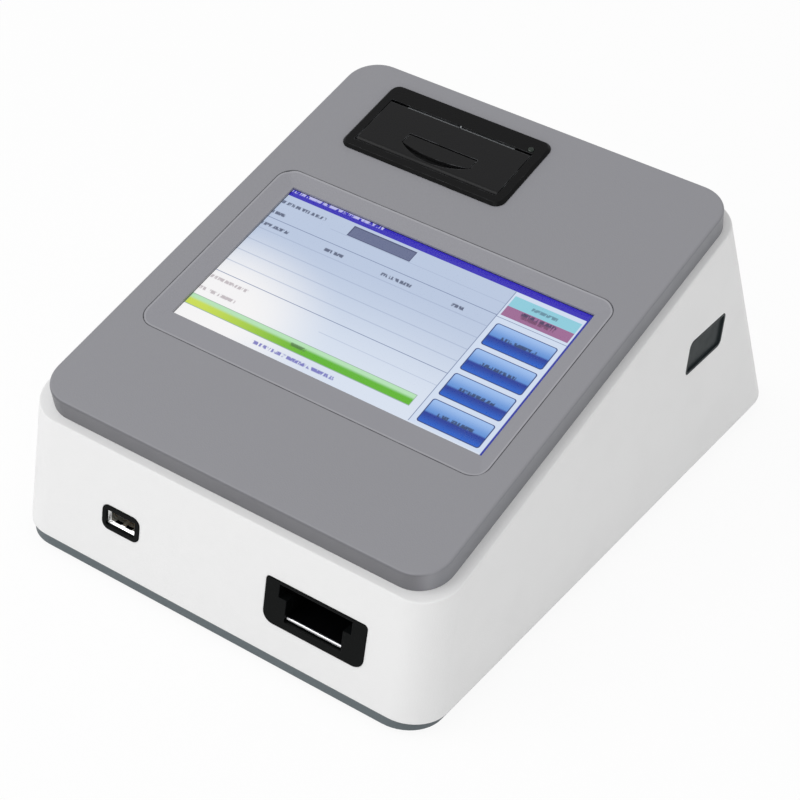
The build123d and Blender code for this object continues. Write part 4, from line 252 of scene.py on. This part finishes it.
def moulded(name, colour, wear_and_highlight_colour, roughness, grain=0.6, edge=0.35 * MM, mottle=0.05,
            shine=0.45, trim=None, wear_and_highlight_share=0.55):
    """Injection moulded plastic: spark-eroded grain, faint flow patches, handled smears and
    eased edges that are lighter, partly from wear and partly as a painted highlight. Trim,
    where a finish has one, adds what is drawn at a place of its own."""
    finish = Finish(name, roughness, specular_ior_level=shine)
    patches = finish.noise(26.0, 3.0)
    specks = finish.noise(900.0, 2.0)
    tone = (patches - 0.5) * mottle * 6.0 + (specks - 0.5) * mottle * 2.0 + 0.5
    shade = finish.mix(scaled(colour, 1.0 - mottle), scaled(colour, 1.0 + mottle), tone)
    if trim:
        shade = trim(finish, shade)
    # edges lightened towards the lighter colour: partly wear, partly painted highlight
    wear_and_edge_highlight = finish.edges(edge) * finish.noise(160.0, 3.0).over(0.38, 0.66)
    finish.colour(finish.mix(shade, wear_and_highlight_colour, wear_and_edge_highlight * wear_and_highlight_share))
    smears = finish.noise(48.0, 4.0, 0.62).over(0.42, 0.72)
    finish.set("Roughness", roughness + (smears - 0.5) * 0.10 - wear_and_edge_highlight * 0.12)
    grains = finish.cells(1500.0) + finish.noise(2600.0, 2.0) * 0.6
    finish.relief(grains, grain * 0.05 * MM, edge)
    return finish.material


def turned_metal(name, colour, dull, roughness, grain=(60.0, 60.0, 1600.0), edge=0.2 * MM,
                 trim=None):
    """Machined or drawn metal: fine scratches along one way, cloudy tone, and edges that are
    lighter, partly rubbed and partly a painted highlight.
    """
    finish = Finish(name, roughness, 1.0)
    scratches = finish.noise(1.0, 3.0, 0.6, finish.stretched(*grain))
    clouds = finish.noise(90.0, 3.0)
    shade = finish.mix(colour, dull, clouds.over(0.35, 0.75) * 0.7 + scratches * 0.2)
    if trim:
        shade = trim(finish, shade)
    # edges brighter than the metal: partly rubbing, partly painted highlight
    rubbed_and_highlit_edges = finish.edges(edge)
    finish.colour(finish.mix(shade, scaled(colour, 1.25), rubbed_and_highlit_edges * 0.7))
    finish.set("Roughness", roughness + (scratches - 0.5) * 0.22 + clouds * 0.08 - rubbed_and_highlit_edges * 0.1)
    finish.relief(scratches, 0.012 * MM, edge)
    return finish.material


def parting_line(finish, shade):
    """The dark joint between the display's surround and the cover, with a painted highlight on the
    rim inside it.
    """
    edge = Plan(finish).outside(*SURROUND, corner=SURROUND_CORNER)
    # painted highlight: a pale line along the rim just inside the joint
    rim = 1.0 - abs(edge + 0.75).over(0.15, 0.5)
    joint = 1.0 - abs(edge + 0.05).over(0.12, 0.34)
    shade = finish.mix(shade, rgb(176, 176, 181), rim * 0.5)
    return finish.mix(shade, rgb(84, 84, 89), joint * 0.8)


def cover_trim(finish, shade):
    """The joint round the surround, and painted shade on the skirt's forward and sideways faces."""
    # painted shade: skirt faces that look forward and those that look sideways are darkened
    front = finish.facing((0.0, -1.0, 0.0)).over(0.6, 0.95)
    side_painted_shade = abs(finish.facing(X)).over(0.6, 0.95)
    front_painted_shade = finish.mix(parting_line(finish, shade), rgb(112, 112, 116), front)
    return finish.mix(front_painted_shade, rgb(132, 133, 138), side_painted_shade * 0.8)


def spring_windows(finish, shade):
    """Two spring openings of a socket shell, shown by painted shade on its floor behind the mouth.
    """
    low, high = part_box("chip_socket_shell")
    across = finish.along(X, ((low.x + high.x) / 2, 0.0, 0.0)) / MM
    inward = finish.along(Y, (0.0, low.y, 0.0)) / MM
    middle, back = 2.7, 1.9          # of a window, from the shell's middle and from its mouth
    wide = 1.0 - abs(abs(across) - middle).over(1.5, 1.8)
    deep = 1.0 - abs(inward - back).over(0.8, 1.1)
    floor = finish.facing(Z).over(0.4, 0.8)
    behind = inward.over(0.5, 0.7) * finish.facing(Z).over(-0.4, 0.2)
    # painted shade: the openings are near black where their dark inside would show
    return finish.mix(shade, rgb(10, 10, 11), wide * deep * floor * behind)


def lipped_plate(name, front):
    """The card's floor: blackened steel whose folded front lip is rubbed bright by the cards."""
    finish = Finish(name, 0.4, 1.0)
    grain = finish.noise(1.0, 3.0, 0.6, finish.stretched(1500.0, 90.0, 90.0))
    lip = 1.0 - finish.along(Y, (0.0, front, 0.0)).over(0.5 * MM, 0.9 * MM)
    dark = finish.mix(rgb(9, 9, 10), rgb(24, 24, 26), grain)
    finish.colour(finish.mix(dark, rgb(244, 244, 246), lip))
    finish.set("Roughness", 0.62 - lip * 0.3 + (grain - 0.5) * 0.16)
    finish.relief(grain, 0.01 * MM, 0.2 * MM)
    return finish.material


def soft_rubber(name, colour, dust_and_highlight_colour, grain=420.0):
    """Moulded elastomer: matt, finely pitted, with pale dust that settles in patches, and
    edges lightened towards the same pale colour as a painted highlight.
    """
    finish = Finish(name, 0.8, specular_ior_level=0.3)
    dust = finish.noise(70.0, 4.0, 0.65).over(0.48, 0.78)
    # edges lightened towards the pale colour: painted highlight, beside the dust patches
    finish.colour(finish.mix(colour, dust_and_highlight_colour, dust * 0.5 + finish.edges(0.3 * MM) * 0.3))
    finish.set("Roughness", 0.72 + dust * 0.2)
    finish.relief(finish.cells(grain * 3.0) + finish.noise(grain, 3.0), 0.03 * MM, 0.3 * MM)
    return finish.material


def circuit_board(name, mask_colour, track_colour):
    """Glass fibre board: solder mask, tracks that stand under it, plated holes, bare edges."""
    finish = Finish(name, 0.35)
    lanes = finish.node(
        "ShaderNodeTexBrick", {"offset": 0.37, "squash": 0.6, "squash_frequency": 3},
        {"Vector": finish.place(), "Scale": 190.0, "Mortar Size": 0.035, "Mortar Smooth": 0.3,
         "Brick Width": 1.3, "Row Height": 0.5}, "Fac")
    holes = 1.0 - finish.cells(330.0).over(0.10, 0.16)
    weave = finish.noise(1.0, 1.0, 0.5, finish.stretched(2200.0, 700.0, 700.0))
    tone = finish.noise(60.0, 3.0)
    base = finish.mix(mask_colour, track_colour, lanes * 0.75 + tone * 0.15)
    solder = finish.mix(base, rgb(196, 192, 180), holes)
    finish.colour(finish.mix(solder, rgb(150, 140, 96), finish.edges(0.3 * MM) * 0.8))
    finish.set("Metallic", holes * 0.9)
    finish.set("Roughness", 0.30 + weave * 0.18 + tone * 0.08)
    finish.relief(lanes * 0.8 + weave * 0.3 - holes, 0.03 * MM)
    return finish.material


def wound_paper(name, centre):
    """Thermal paper on a roll: rings of its turns on the ends, faint fibres, loose edges."""
    finish = Finish(name, 0.72)
    across = finish.along(Y, centre)
    up = finish.along(Z, centre)
    radius = (across * across + up * up) ** 0.5
    turns = (radius * 9000.0 + finish.noise(60.0, 2.0) * 2.0) % 1.0
    groove = abs(turns - 0.5) * 2.0
    loose = finish.noise(1.0, 2.0, 0.5, finish.stretched(8.0, 500.0, 500.0)).over(0.55, 0.8)
    fibres = finish.noise(1200.0, 4.0, 0.7)
    shade = finish.mix(rgb(232, 233, 236), rgb(250, 250, 250), fibres)
    finish.colour(finish.mix(shade, rgb(196, 198, 204), groove.over(0.7, 1.0) * 0.5 + loose * 0.2))
    finish.set("Roughness", 0.6 + fibres * 0.2)
    finish.relief(groove * 0.6 + fibres * 0.3, 0.03 * MM)
    return finish.material


def clear_window(name):
    """The touch film over the display: nearly clear, with a soft sheen and faint finger smears."""
    finish = Finish(name, 0.34, 1.0)
    smears = finish.noise(30.0, 4.0, 0.6).over(0.42, 0.74)
    streaks = finish.noise(1.0, 3.0, 0.6, finish.stretched(28.0, 90.0, 90.0)).over(0.5, 0.8)
    finish.colour(finish.mix(rgb(246, 248, 250), rgb(226, 230, 236), smears))
    finish.set("Roughness", 0.34 + smears * 0.07 + streaks * 0.04)
    finish.set("Alpha", 0.016 + smears * 0.006 + streaks * 0.003)
    finish.relief(finish.noise(500.0, 2.0), 0.002 * MM)
    return finish.material


def lens_glass(name, tint):
    """Ground optical glass: a coating's tint that changes towards the rim, and polish marks."""
    finish = Finish(name, 0.04, transmission_weight=0.85, ior=1.52)
    polish = finish.noise(700.0, 3.0)
    coating = finish.noise(120.0, 2.0) * 0.5 + finish.edges(0.4 * MM) * 0.5
    finish.colour(finish.mix(rgb(238, 243, 246), tint, coating))
    finish.set("Roughness", 0.03 + polish * 0.05)
    finish.relief(polish, 0.002 * MM)
    return finish.material


class Plan:
    """The sloping cover seen square on, with soft-edged shapes on it: x to the right and y
    down, in millimetres from the picture's upper left corner."""

    def __init__(self, finish):
        self.finish = finish
        self.x = finish.along(X) / MM - PICTURE_LEFT
        slope = (0.0, math.cos(SLOPE), math.sin(SLOPE))
        self.y = PICTURE_TOP - finish.along(slope, (0.0, COVER_FRONT, COVER_FOOT)) / MM

    def outside(self, left, right, top, bottom, corner=0.0, y=None):
        """How far a point lies outside a rectangle with rounded corners; below nought inside."""
        half_width, half_height = (right - left) / 2, (bottom - top) / 2
        across = abs(self.x - (left + right) / 2) - (half_width - corner)
        down = abs((y or self.y) - (top + bottom) / 2) - (half_height - corner)
        if corner:
            round_the_corner = (across.greater(0.0) ** 2.0 + down.greater(0.0) ** 2.0) ** 0.5
            return round_the_corner + across.greater(down).lesser(0.0) - corner
        return across.greater(down)

    def box(self, *edges, soft=0.12, **shape):
        """One inside such a rectangle and nought outside, with a change that is twice soft wide."""
        return 1.0 - self.outside(*edges, **shape).over(-soft, soft)


class Picture(Plan):
    """The display's picture, painted layer by layer."""

    def __init__(self, finish, background):
        super().__init__(finish)
        self.colour = background

    def paint(self, colour, mask):
        self.colour = self.finish.mix(self.colour, colour, mask)

    def fill(self, colour, *edges, strength=1.0, **shape):
        mask = self.box(*edges, **shape)
        self.paint(colour, mask if strength == 1.0 else mask * strength)

    def words(self, colour, left, right, middle, tall=1.8, strength=0.85, y=None):
        """A line of wording too small to read, shown as short broken marks."""
        marks = self.finish.noise(1.0, 1.0, 0.5, self.finish.stretched(900.0, 260.0, 260.0))
        line = self.box(left, right, middle - tall / 2, middle + tall / 2,
                        corner=0.3, soft=0.35, y=y)
        self.paint(colour, line * marks.over(0.38, 0.52) * strength)


def display_picture(name):
    """Lit panel: a pale page with rules, a title bar, a progress bar and four blue keys, with a
    painted reflection of a lamp's glare whitening the lower left.
    """
    finish = Finish(name, 0.30, specular_ior_level=0.1, emission_strength=0.97)
    pale, page = rgb(188, 202, 226), rgb(220, 229, 243)
    screen = Picture(finish, pale)
    screen.paint(page, screen.y.over(24.0, 84.0))
    # painted reflection: a lamp's soft glare in the glass, whitening the page towards the lower
    # left
    painted_glare_reach = (((screen.x - 12.0) / 46.0) ** 2.0 + ((screen.y - 78.0) / 38.0) ** 2.0) ** 0.5
    screen.paint(rgb(252, 250, 249), (1.0 - painted_glare_reach.over(0.35, 1.35)) * 0.92)
    ink, faint = rgb(52, 60, 92), rgb(158, 172, 200)
    rule = rgb(120, 134, 168)

    # column of keys on the right
    screen.fill(rgb(212, 224, 243), COLUMN, COLUMN_END + 0.2, PAGE_TOP, PAGE_FOOT)
    screen.fill(rgb(142, 206, 222), 122.0, 154.2, 8.9, 15.2)
    screen.fill(rgb(158, 102, 146), 122.0, 154.2, 15.2, 21.1)
    screen.words(ink, 132.0, 144.2, 12.1, strength=0.6)
    screen.words(rgb(80, 24, 62), 130.0, 146.0, 18.3, strength=0.6)
    screen.fill(rule, COLUMN, COLUMN_END, 22.5, 22.8, soft=0.1)
    down = (screen.y - 25.6) % KEY_PITCH
    keys = screen.box(COLUMN, COLUMN_END, 25.0, 88.6)
    rim = screen.box(123.4, 153.0, 0.1, 13.7, corner=1.3, y=down) * keys
    key = screen.box(123.9, 152.5, 0.5, 13.2, corner=1.0, y=down) * keys
    screen.paint(rgb(34, 58, 122), rim)
    light = finish.mix(rgb(158, 192, 240), rgb(92, 144, 216), down.over(0.5, 7.6))
    deep = finish.mix(rgb(0, 44, 148), rgb(10, 92, 202), down.over(8.0, 13.5))
    screen.paint(finish.mix(light, deep, down.over(6.9, 8.3)), key)
    screen.words(rgb(16, 28, 70), 129.6, 146.4, 7.0, y=down, strength=0.8)

    # rules and boxes on the page
    screen.fill(rule, 0.5, COLUMN, 21.85, 22.2)
    screen.fill(rule, 0.5, COLUMN, 59.8, 60.15)
    screen.fill(rule, COLUMN - 0.25, COLUMN + 0.1, PAGE_TOP, PAGE_FOOT)
    from_line = LINE_PITCH / 2 - abs((screen.y - 22.0) % LINE_PITCH - LINE_PITCH / 2)
    ruled = (1.0 - from_line.over(0.12, 0.4)) * screen.box(1.0, COLUMN, 24.0, 58.0)
    screen.paint(faint, ruled * 0.55)
    screen.fill(faint, 31.0, COLUMN, 14.7, 15.0, strength=0.6)
    screen.fill(faint, 62.0, COLUMN, 67.6, 67.9, strength=0.6)
    screen.fill(rgb(66, 72, 108), 39.3, 72.0, 8.0, 14.5)
    screen.fill(rgb(100, 108, 142), 39.9, 71.6, 8.6, 14.1)
    for line in ((2.6, 26.0, 11.2), (2.6, 9.0, 18.4), (2.6, 16.6, 26.4), (36.0, 45.6, 26.4),
                 (65.6, 80.8, 26.4), (101.4, 107.6, 26.4)):
        screen.words(ink, *line)
    for line in ((2.6, 22.4, 64.0), (2.6, 21.4, 71.8)):
        screen.words(rgb(150, 132, 140), *line, strength=0.6)
    screen.words(rgb(70, 60, 178), 40.8, 82.6, 86.2, strength=0.8)

    # progress bar: pale upper half, full green lower half, yellower to the left
    screen.fill(rgb(148, 176, 158), 2.4, 117.0, 76.0, 82.6)
    left_green = finish.mix(rgb(206, 224, 72), rgb(92, 182, 8), screen.x.over(2.0, 70.0))
    bar = finish.mix(rgb(184, 230, 184), left_green, screen.y.over(77.6, 79.6))
    screen.paint(bar, screen.box(2.7, 116.7, 76.3, 82.2))
    screen.words(rgb(60, 88, 50), 55.8, 63.4, 79.2, strength=0.7)

    # title bar and the strip of desktop at the right edge
    screen.fill(rgb(44, 26, 182), OFF_LEFT, OFF_RIGHT, OFF_TOP, 6.5)
    screen.fill(rgb(34, 44, 160), COLUMN_END, OFF_RIGHT, OFF_TOP, OFF_FOOT)
    screen.words(rgb(206, 206, 246), 0.6, 52.2, 3.3, tall=1.7)
    dots = finish.noise(1.0, 0.0, 0.5, finish.stretched(5200.0, 5200.0, 5200.0))
    finish.set("Emission Color", finish.mix(screen.colour, rgb(170, 186, 214), dots * 0.05))
    finish.colour(finish.mix(rgb(8, 9, 12), rgb(18, 19, 24), dots))
    finish.set("Roughness", 0.28 + dots * 0.06)
    return finish.material


def signal_light(name, colour, core, lit=0.15):
    """A moulded diode: coloured resin, brighter towards its middle, with a cloudy inside, and
    edges lightened as a painted highlight.
    """
    finish = Finish(name, 0.22, transmission_weight=0.15, emission_strength=lit)
    cloud = finish.noise(500.0, 3.0)
    # edges lightened towards the core colour as a painted highlight
    finish.colour(finish.mix(colour, core, cloud * 0.5 + finish.edges(0.3 * MM) * 0.3))
    finish.set("Emission Color", finish.mix(colour, core, cloud))
    finish.set("Roughness", 0.16 + cloud * 0.12)
    finish.relief(cloud, 0.01 * MM)
    return finish.material


finishes = {
    "housing": moulded("housing_white", rgb(238, 238, 238), rgb(248, 248, 247), 0.42, mottle=0.012),
    "tray": moulded("base_dark", rgb(90, 99, 103), rgb(134, 142, 145), 0.52),
    "cover": moulded("cover_grey", rgb(146, 146, 151), rgb(172, 172, 176), 0.46, mottle=0.03,
                     shine=0.3, trim=cover_trim),
    "surround": moulded("surround_grey", rgb(149, 149, 155), rgb(178, 178, 182), 0.44, mottle=0.03,
                        shine=0.3, trim=parting_line),
    "printer": moulded("printer_black", rgb(27, 27, 28), rgb(122, 124, 128), 0.32, shine=0.14,
                       wear_and_highlight_share=0.9),
    # painted shade: the bezel is a darker copy of the printer's black for its shaded side bands
    "bezel": moulded("bezel_black_painted_shade", rgb(13, 13, 14), rgb(104, 106, 110), 0.32, shine=0.12, wear_and_highlight_share=0.9),
    "slot": moulded("slot_black", rgb(9, 11, 11), rgb(46, 48, 52), 0.40, shine=0.06),
    "inner": moulded("inner_black", rgb(7, 7, 8), rgb(26, 27, 30), 0.6, shine=0.05),
    "insert": moulded("insert_charcoal", rgb(41, 48, 50), rgb(84, 88, 92), 0.48, shine=0.08),
    "nylon": moulded("white_nylon", rgb(226, 224, 214), rgb(240, 239, 232), 0.45, grain=0.4),
    "gasket": soft_rubber("foam_gasket", rgb(28, 29, 31), rgb(60, 62, 64), 700.0),
    "rubber": soft_rubber("black_rubber", rgb(30, 31, 32), rgb(92, 93, 92)),
    "roller": soft_rubber("platen_rubber", rgb(36, 37, 40), rgb(74, 75, 78), 900.0),
    "steel": turned_metal("ground_steel", rgb(200, 203, 206), rgb(150, 154, 158), 0.26,
                          (1600.0, 90.0, 90.0)),
    "zinc": turned_metal("zinc_plate", rgb(176, 182, 188), rgb(142, 150, 160), 0.38,
                         (300.0, 300.0, 300.0)),
    "plated": turned_metal("nickel_plate", rgb(228, 229, 228), rgb(160, 162, 164), 0.20,
                           (90.0, 1300.0, 90.0)),
    "socket_shell": turned_metal("socket_shell", rgb(240, 240, 239), rgb(196, 198, 199), 0.24,
                                 (90.0, 1300.0, 90.0), trim=spring_windows),
    "brass": turned_metal("turned_brass", rgb(206, 172, 98), rgb(160, 124, 62), 0.28),
    "gold": turned_metal("gold_flash", rgb(230, 190, 110), rgb(190, 150, 84), 0.24,
                         (900.0, 90.0, 90.0)),
    "aluminium": turned_metal("machined_aluminium", rgb(190, 193, 196), rgb(150, 154, 158), 0.36,
                              (90.0, 1500.0, 90.0)),
    "board": circuit_board("green_board", rgb(22, 92, 58), rgb(36, 122, 78)),
    "window": clear_window("touch_film"),
    "panel": display_picture("display_picture"),
    "lens": lens_glass("coated_lens", rgb(196, 214, 236)),
    "led": signal_light("status_green", rgb(14, 22, 17), rgb(34, 58, 42), 0.04),
    "lamp": signal_light("excitation_blue", rgb(120, 140, 220), rgb(190, 204, 250)),
    "speaker": soft_rubber("speaker_cone", rgb(34, 34, 36), rgb(58, 58, 60), 300.0),
}


# --- which finish each piece has ---------------------------------------------------------------

SMOOTH = {
    "housing_shell": "housing", "base_tray": "tray", "top_cover": "cover",
    "display_surround": "surround", "printer_bucket": "bezel", "printer_door": "printer",
    "door_paddle": "printer", "slot_bezel": "slot",
    "chip_socket_frame": "slot", "chip_socket_shell": "socket_shell", "side_insert": "insert",
    "card_floor_plate": "floor_plate", "status_led": "led", "rubber_feet": "rubber",
    "platen_roller": "roller", "power_rocker": "slot", "dc_inlet": "inner", "switch_frame": "inner",
}
PLAIN = {
    "display_gasket": "gasket",
    "display_bracket": "zinc", "main_board": "board", "display_screws": "steel",
    "door_hinge_pin": "steel", "paddle_pin": "steel", "platen_shaft": "steel",
    "platen_bushes": "brass", "platen_gear": "nylon", "idler_gear": "nylon", "idler_stud": "steel",
    "feed_motor": "zinc", "feed_pinion": "brass", "print_head": "aluminium", "tear_bar": "steel",
    "reader_chassis": "zinc", "guide_rods": "steel", "card_carriage": "inner",
    "carriage_bushes": "brass", "drive_pinion": "brass", "drive_motor": "zinc",
    "optics_bridge": "aluminium", "optics_block": "inner", "objective_lens": "lens",
    "excitation_lamp": "lamp", "detector_board": "board", "home_sensor": "inner",
    "chip_socket_tongue": "nylon", "chip_socket_contacts": "gold", "chip_socket_board": "board",
    "rear_port_bay": "tray", "rear_port_board": "board", "network_socket": "plated",
    "rocker_pin": "steel", "power_board": "board", "speaker": "speaker", "base_screws": "steel",
    "cover_screws": "steel",
}
low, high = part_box("paper_roll")
roll_centre = (0.0, (low.y + high.y) / 2, (low.z + high.z) / 2)
finishes["paper"] = wound_paper("thermal_paper", roll_centre)
SMOOTH["paper_roll"] = "paper"
finishes["floor_plate"] = lipped_plate("lipped_plate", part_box("card_floor_plate")[0].y)


def smooth_copy(node, material, underside=0.0, topside=0.0):
    """A merged copy of a solid's mesh that is shaded as one curved skin and stands for that
    solid. Its flat faces keep their own direction. Of a plate that lies along the cover, the
    lower half is raised by underside and the upper half by topside, square to the cover."""
    source = frame["nodes"][node].data
    corners = np.zeros(len(source.vertices) * 3, np.float64)
    source.vertices.foreach_get("co", corners)
    if underside or topside:
        normal = np.array((0.0, -math.sin(SLOPE), math.cos(SLOPE)))
        depth = corners.reshape(-1, 3) @ normal
        raised = np.where(depth < depth.mean(), underside, topside)
        corners = (corners.reshape(-1, 3) + np.outer(raised, normal)).reshape(-1)
    loops = np.zeros(len(source.loops), np.int64)
    source.loops.foreach_get("vertex_index", loops)
    keys = np.round(corners.reshape(-1, 3) / WELD).astype(np.int64)
    _, first, merged = np.unique(keys, axis=0, return_index=True, return_inverse=True)
    faces = merged.reshape(-1)[loops].reshape(-1, 3)
    one, two, three = faces.T
    whole = (one != two) & (two != three) & (three != one)
    mesh = bpy.data.meshes.new(node + "_skin")
    mesh.from_pydata(corners.reshape(-1, 3)[first].tolist(), [], faces[whole].tolist())
    mesh.polygons.foreach_set("use_smooth", np.ones(len(mesh.polygons), bool))
    mesh.set_sharp_from_angle(angle=SMOOTH_BELOW)
    mesh.materials.append(material)
    piece = bpy.data.objects.new(node + "_skin", mesh)
    bpy.context.scene.collection.objects.link(piece)
    weighted = piece.modifiers.new("flat faces lead", "WEIGHTED_NORMAL")
    weighted.keep_sharp = True
    weighted.weight = 100
    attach(piece, frame["nodes"][node]["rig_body"])
    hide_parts(node)


for node, finish in SMOOTH.items():
    smooth_copy(node, finishes[finish])
smooth_copy("touch_glass", finishes["window"], underside=GLASS_RISE)
smooth_copy("display_panel", finishes["panel"], topside=DISPLAY_RISE)
for node, finish in PLAIN.items():
    slots = frame["nodes"][node].data.materials
    for index in range(len(slots)):
        slots[index] = finishes[finish]


# --- floor, light and camera -------------------------------------------------------------------

FLOOR_HALF = 6.0                     # half the studio floor's width
FLOOR_WHITE = 0.92                   # share of pure white in the floor where it is seen
WORLD_LEVEL = 0.66                   # strength of the surroundings where they light the reader
LAMP_AIM = (0.0, 0.0, 0.08)          # about the reader's middle
SENSOR_WIDTH = 36.0                  # in millimetres, as is the focal length
FOCAL_LENGTH = 92.95


def turned(right, up, back, place):
    """The matrix of a lamp or a camera from its three directions and its place."""
    return Matrix([*zip(right, up, back, place), (0.0, 0.0, 0.0, 1.0)])


def stage_floor():
    """A wide floor that the camera and reflections see as white, with the object's shadow kept."""
    mesh = bpy.data.meshes.new("studio_floor")
    square = ((-1.0, -1.0), (1.0, -1.0), (1.0, 1.0), (-1.0, 1.0))
    corners = [(x * FLOOR_HALF, y * FLOOR_HALF, 0.0) for x, y in square]
    mesh.from_pydata(corners, [], [(0, 1, 2, 3)])
    finish = Finish("studio_paper", 0.9)
    grain = finish.noise(40.0, 2.0)
    finish.colour(finish.mix(rgb(247, 247, 247), rgb(252, 252, 252), grain))
    rays = [finish.node("ShaderNodeLightPath", {}, {}, name)
            for name in ("Is Camera Ray", "Is Glossy Ray", "Is Transmission Ray")]
    seen = rays[0].greater(rays[1]).greater(rays[2])
    white = finish.node("ShaderNodeEmission", {}, {"Color": WHITE, "Strength": 1.0})
    blend = finish.node("ShaderNodeMixShader", {}, {0: seen * FLOOR_WHITE})
    mixer = blend.socket.node
    finish.tree.links.new(finish.shader.outputs[0], mixer.inputs[1])
    finish.tree.links.new(white.socket, mixer.inputs[2])
    finish.tree.links.new(mixer.outputs[0], finish.tree.nodes["Material Output"].inputs["Surface"])
    mesh.materials.append(finish.material)
    floor = bpy.data.objects.new("studio_floor", mesh)
    bpy.context.scene.collection.objects.link(floor)


def studio_world(level):
    """Even white surroundings: full white where seen, softer where they light the object."""
    world = bpy.data.worlds.new("studio")
    bpy.context.scene.world = world
    world.use_nodes = True
    tree = world.node_tree
    tree.nodes.clear()
    rays = tree.nodes.new("ShaderNodeLightPath")
    seen = tree.nodes.new("ShaderNodeMath")
    seen.operation = "MAXIMUM"
    tree.links.new(rays.outputs["Is Camera Ray"], seen.inputs[0])
    tree.links.new(rays.outputs["Is Transmission Ray"], seen.inputs[1])
    mixer = tree.nodes.new("ShaderNodeMixShader")
    tree.links.new(seen.outputs[0], mixer.inputs[0])
    for index, strength in ((1, level), (2, 1.0)):
        light = tree.nodes.new("ShaderNodeBackground")
        light.inputs["Color"].default_value = WHITE
        light.inputs["Strength"].default_value = strength
        tree.links.new(light.outputs[0], mixer.inputs[index])
    output = tree.nodes.new("ShaderNodeOutputWorld")
    tree.links.new(mixer.outputs[0], output.inputs["Surface"])


def softbox(name, place, aim, size, power):
    """A square soft lamp at a place, turned to the point that it lights."""
    data = bpy.data.lights.new(name, "AREA")
    data.shape = "SQUARE"
    data.size = size
    data.energy = power
    lamp = bpy.data.objects.new(name, data)
    way = np.array(aim, float) - np.array(place, float)
    back = -way / np.linalg.norm(way)
    right = np.cross(Z, back)
    right /= np.linalg.norm(right)
    up = np.cross(back, right)
    lamp.matrix_world = turned(right, up, back, place)
    bpy.context.scene.collection.objects.link(lamp)


def photo_camera():
    """A long lens above the front right corner, where the photograph was taken from."""
    data = bpy.data.cameras.new("photo_camera")
    data.sensor_width = SENSOR_WIDTH
    data.lens = FOCAL_LENGTH
    data.clip_start = 0.01
    camera = bpy.data.objects.new("photo_camera", data)
    right = (0.82998, 0.54834, 0.10227)
    up = (-0.38346, 0.42775, 0.81852)
    back = (0.40509, -0.71857, 0.56529)
    place = (0.37076, -0.686846, 0.56461)
    camera.matrix_world = turned(right, up, back, place)
    bpy.context.scene.collection.objects.link(camera)
    bpy.context.scene.camera = camera


stage_floor()
studio_world(WORLD_LEVEL)
softbox("key_light", (-0.9, -1.1, 1.7), LAMP_AIM, size=1.2, power=12.0)
softbox("front_fill", (0.4, -1.9, 0.8), LAMP_AIM, size=1.4, power=5.0)
photo_camera()
bpy.context.scene.view_settings.view_transform = "Standard"
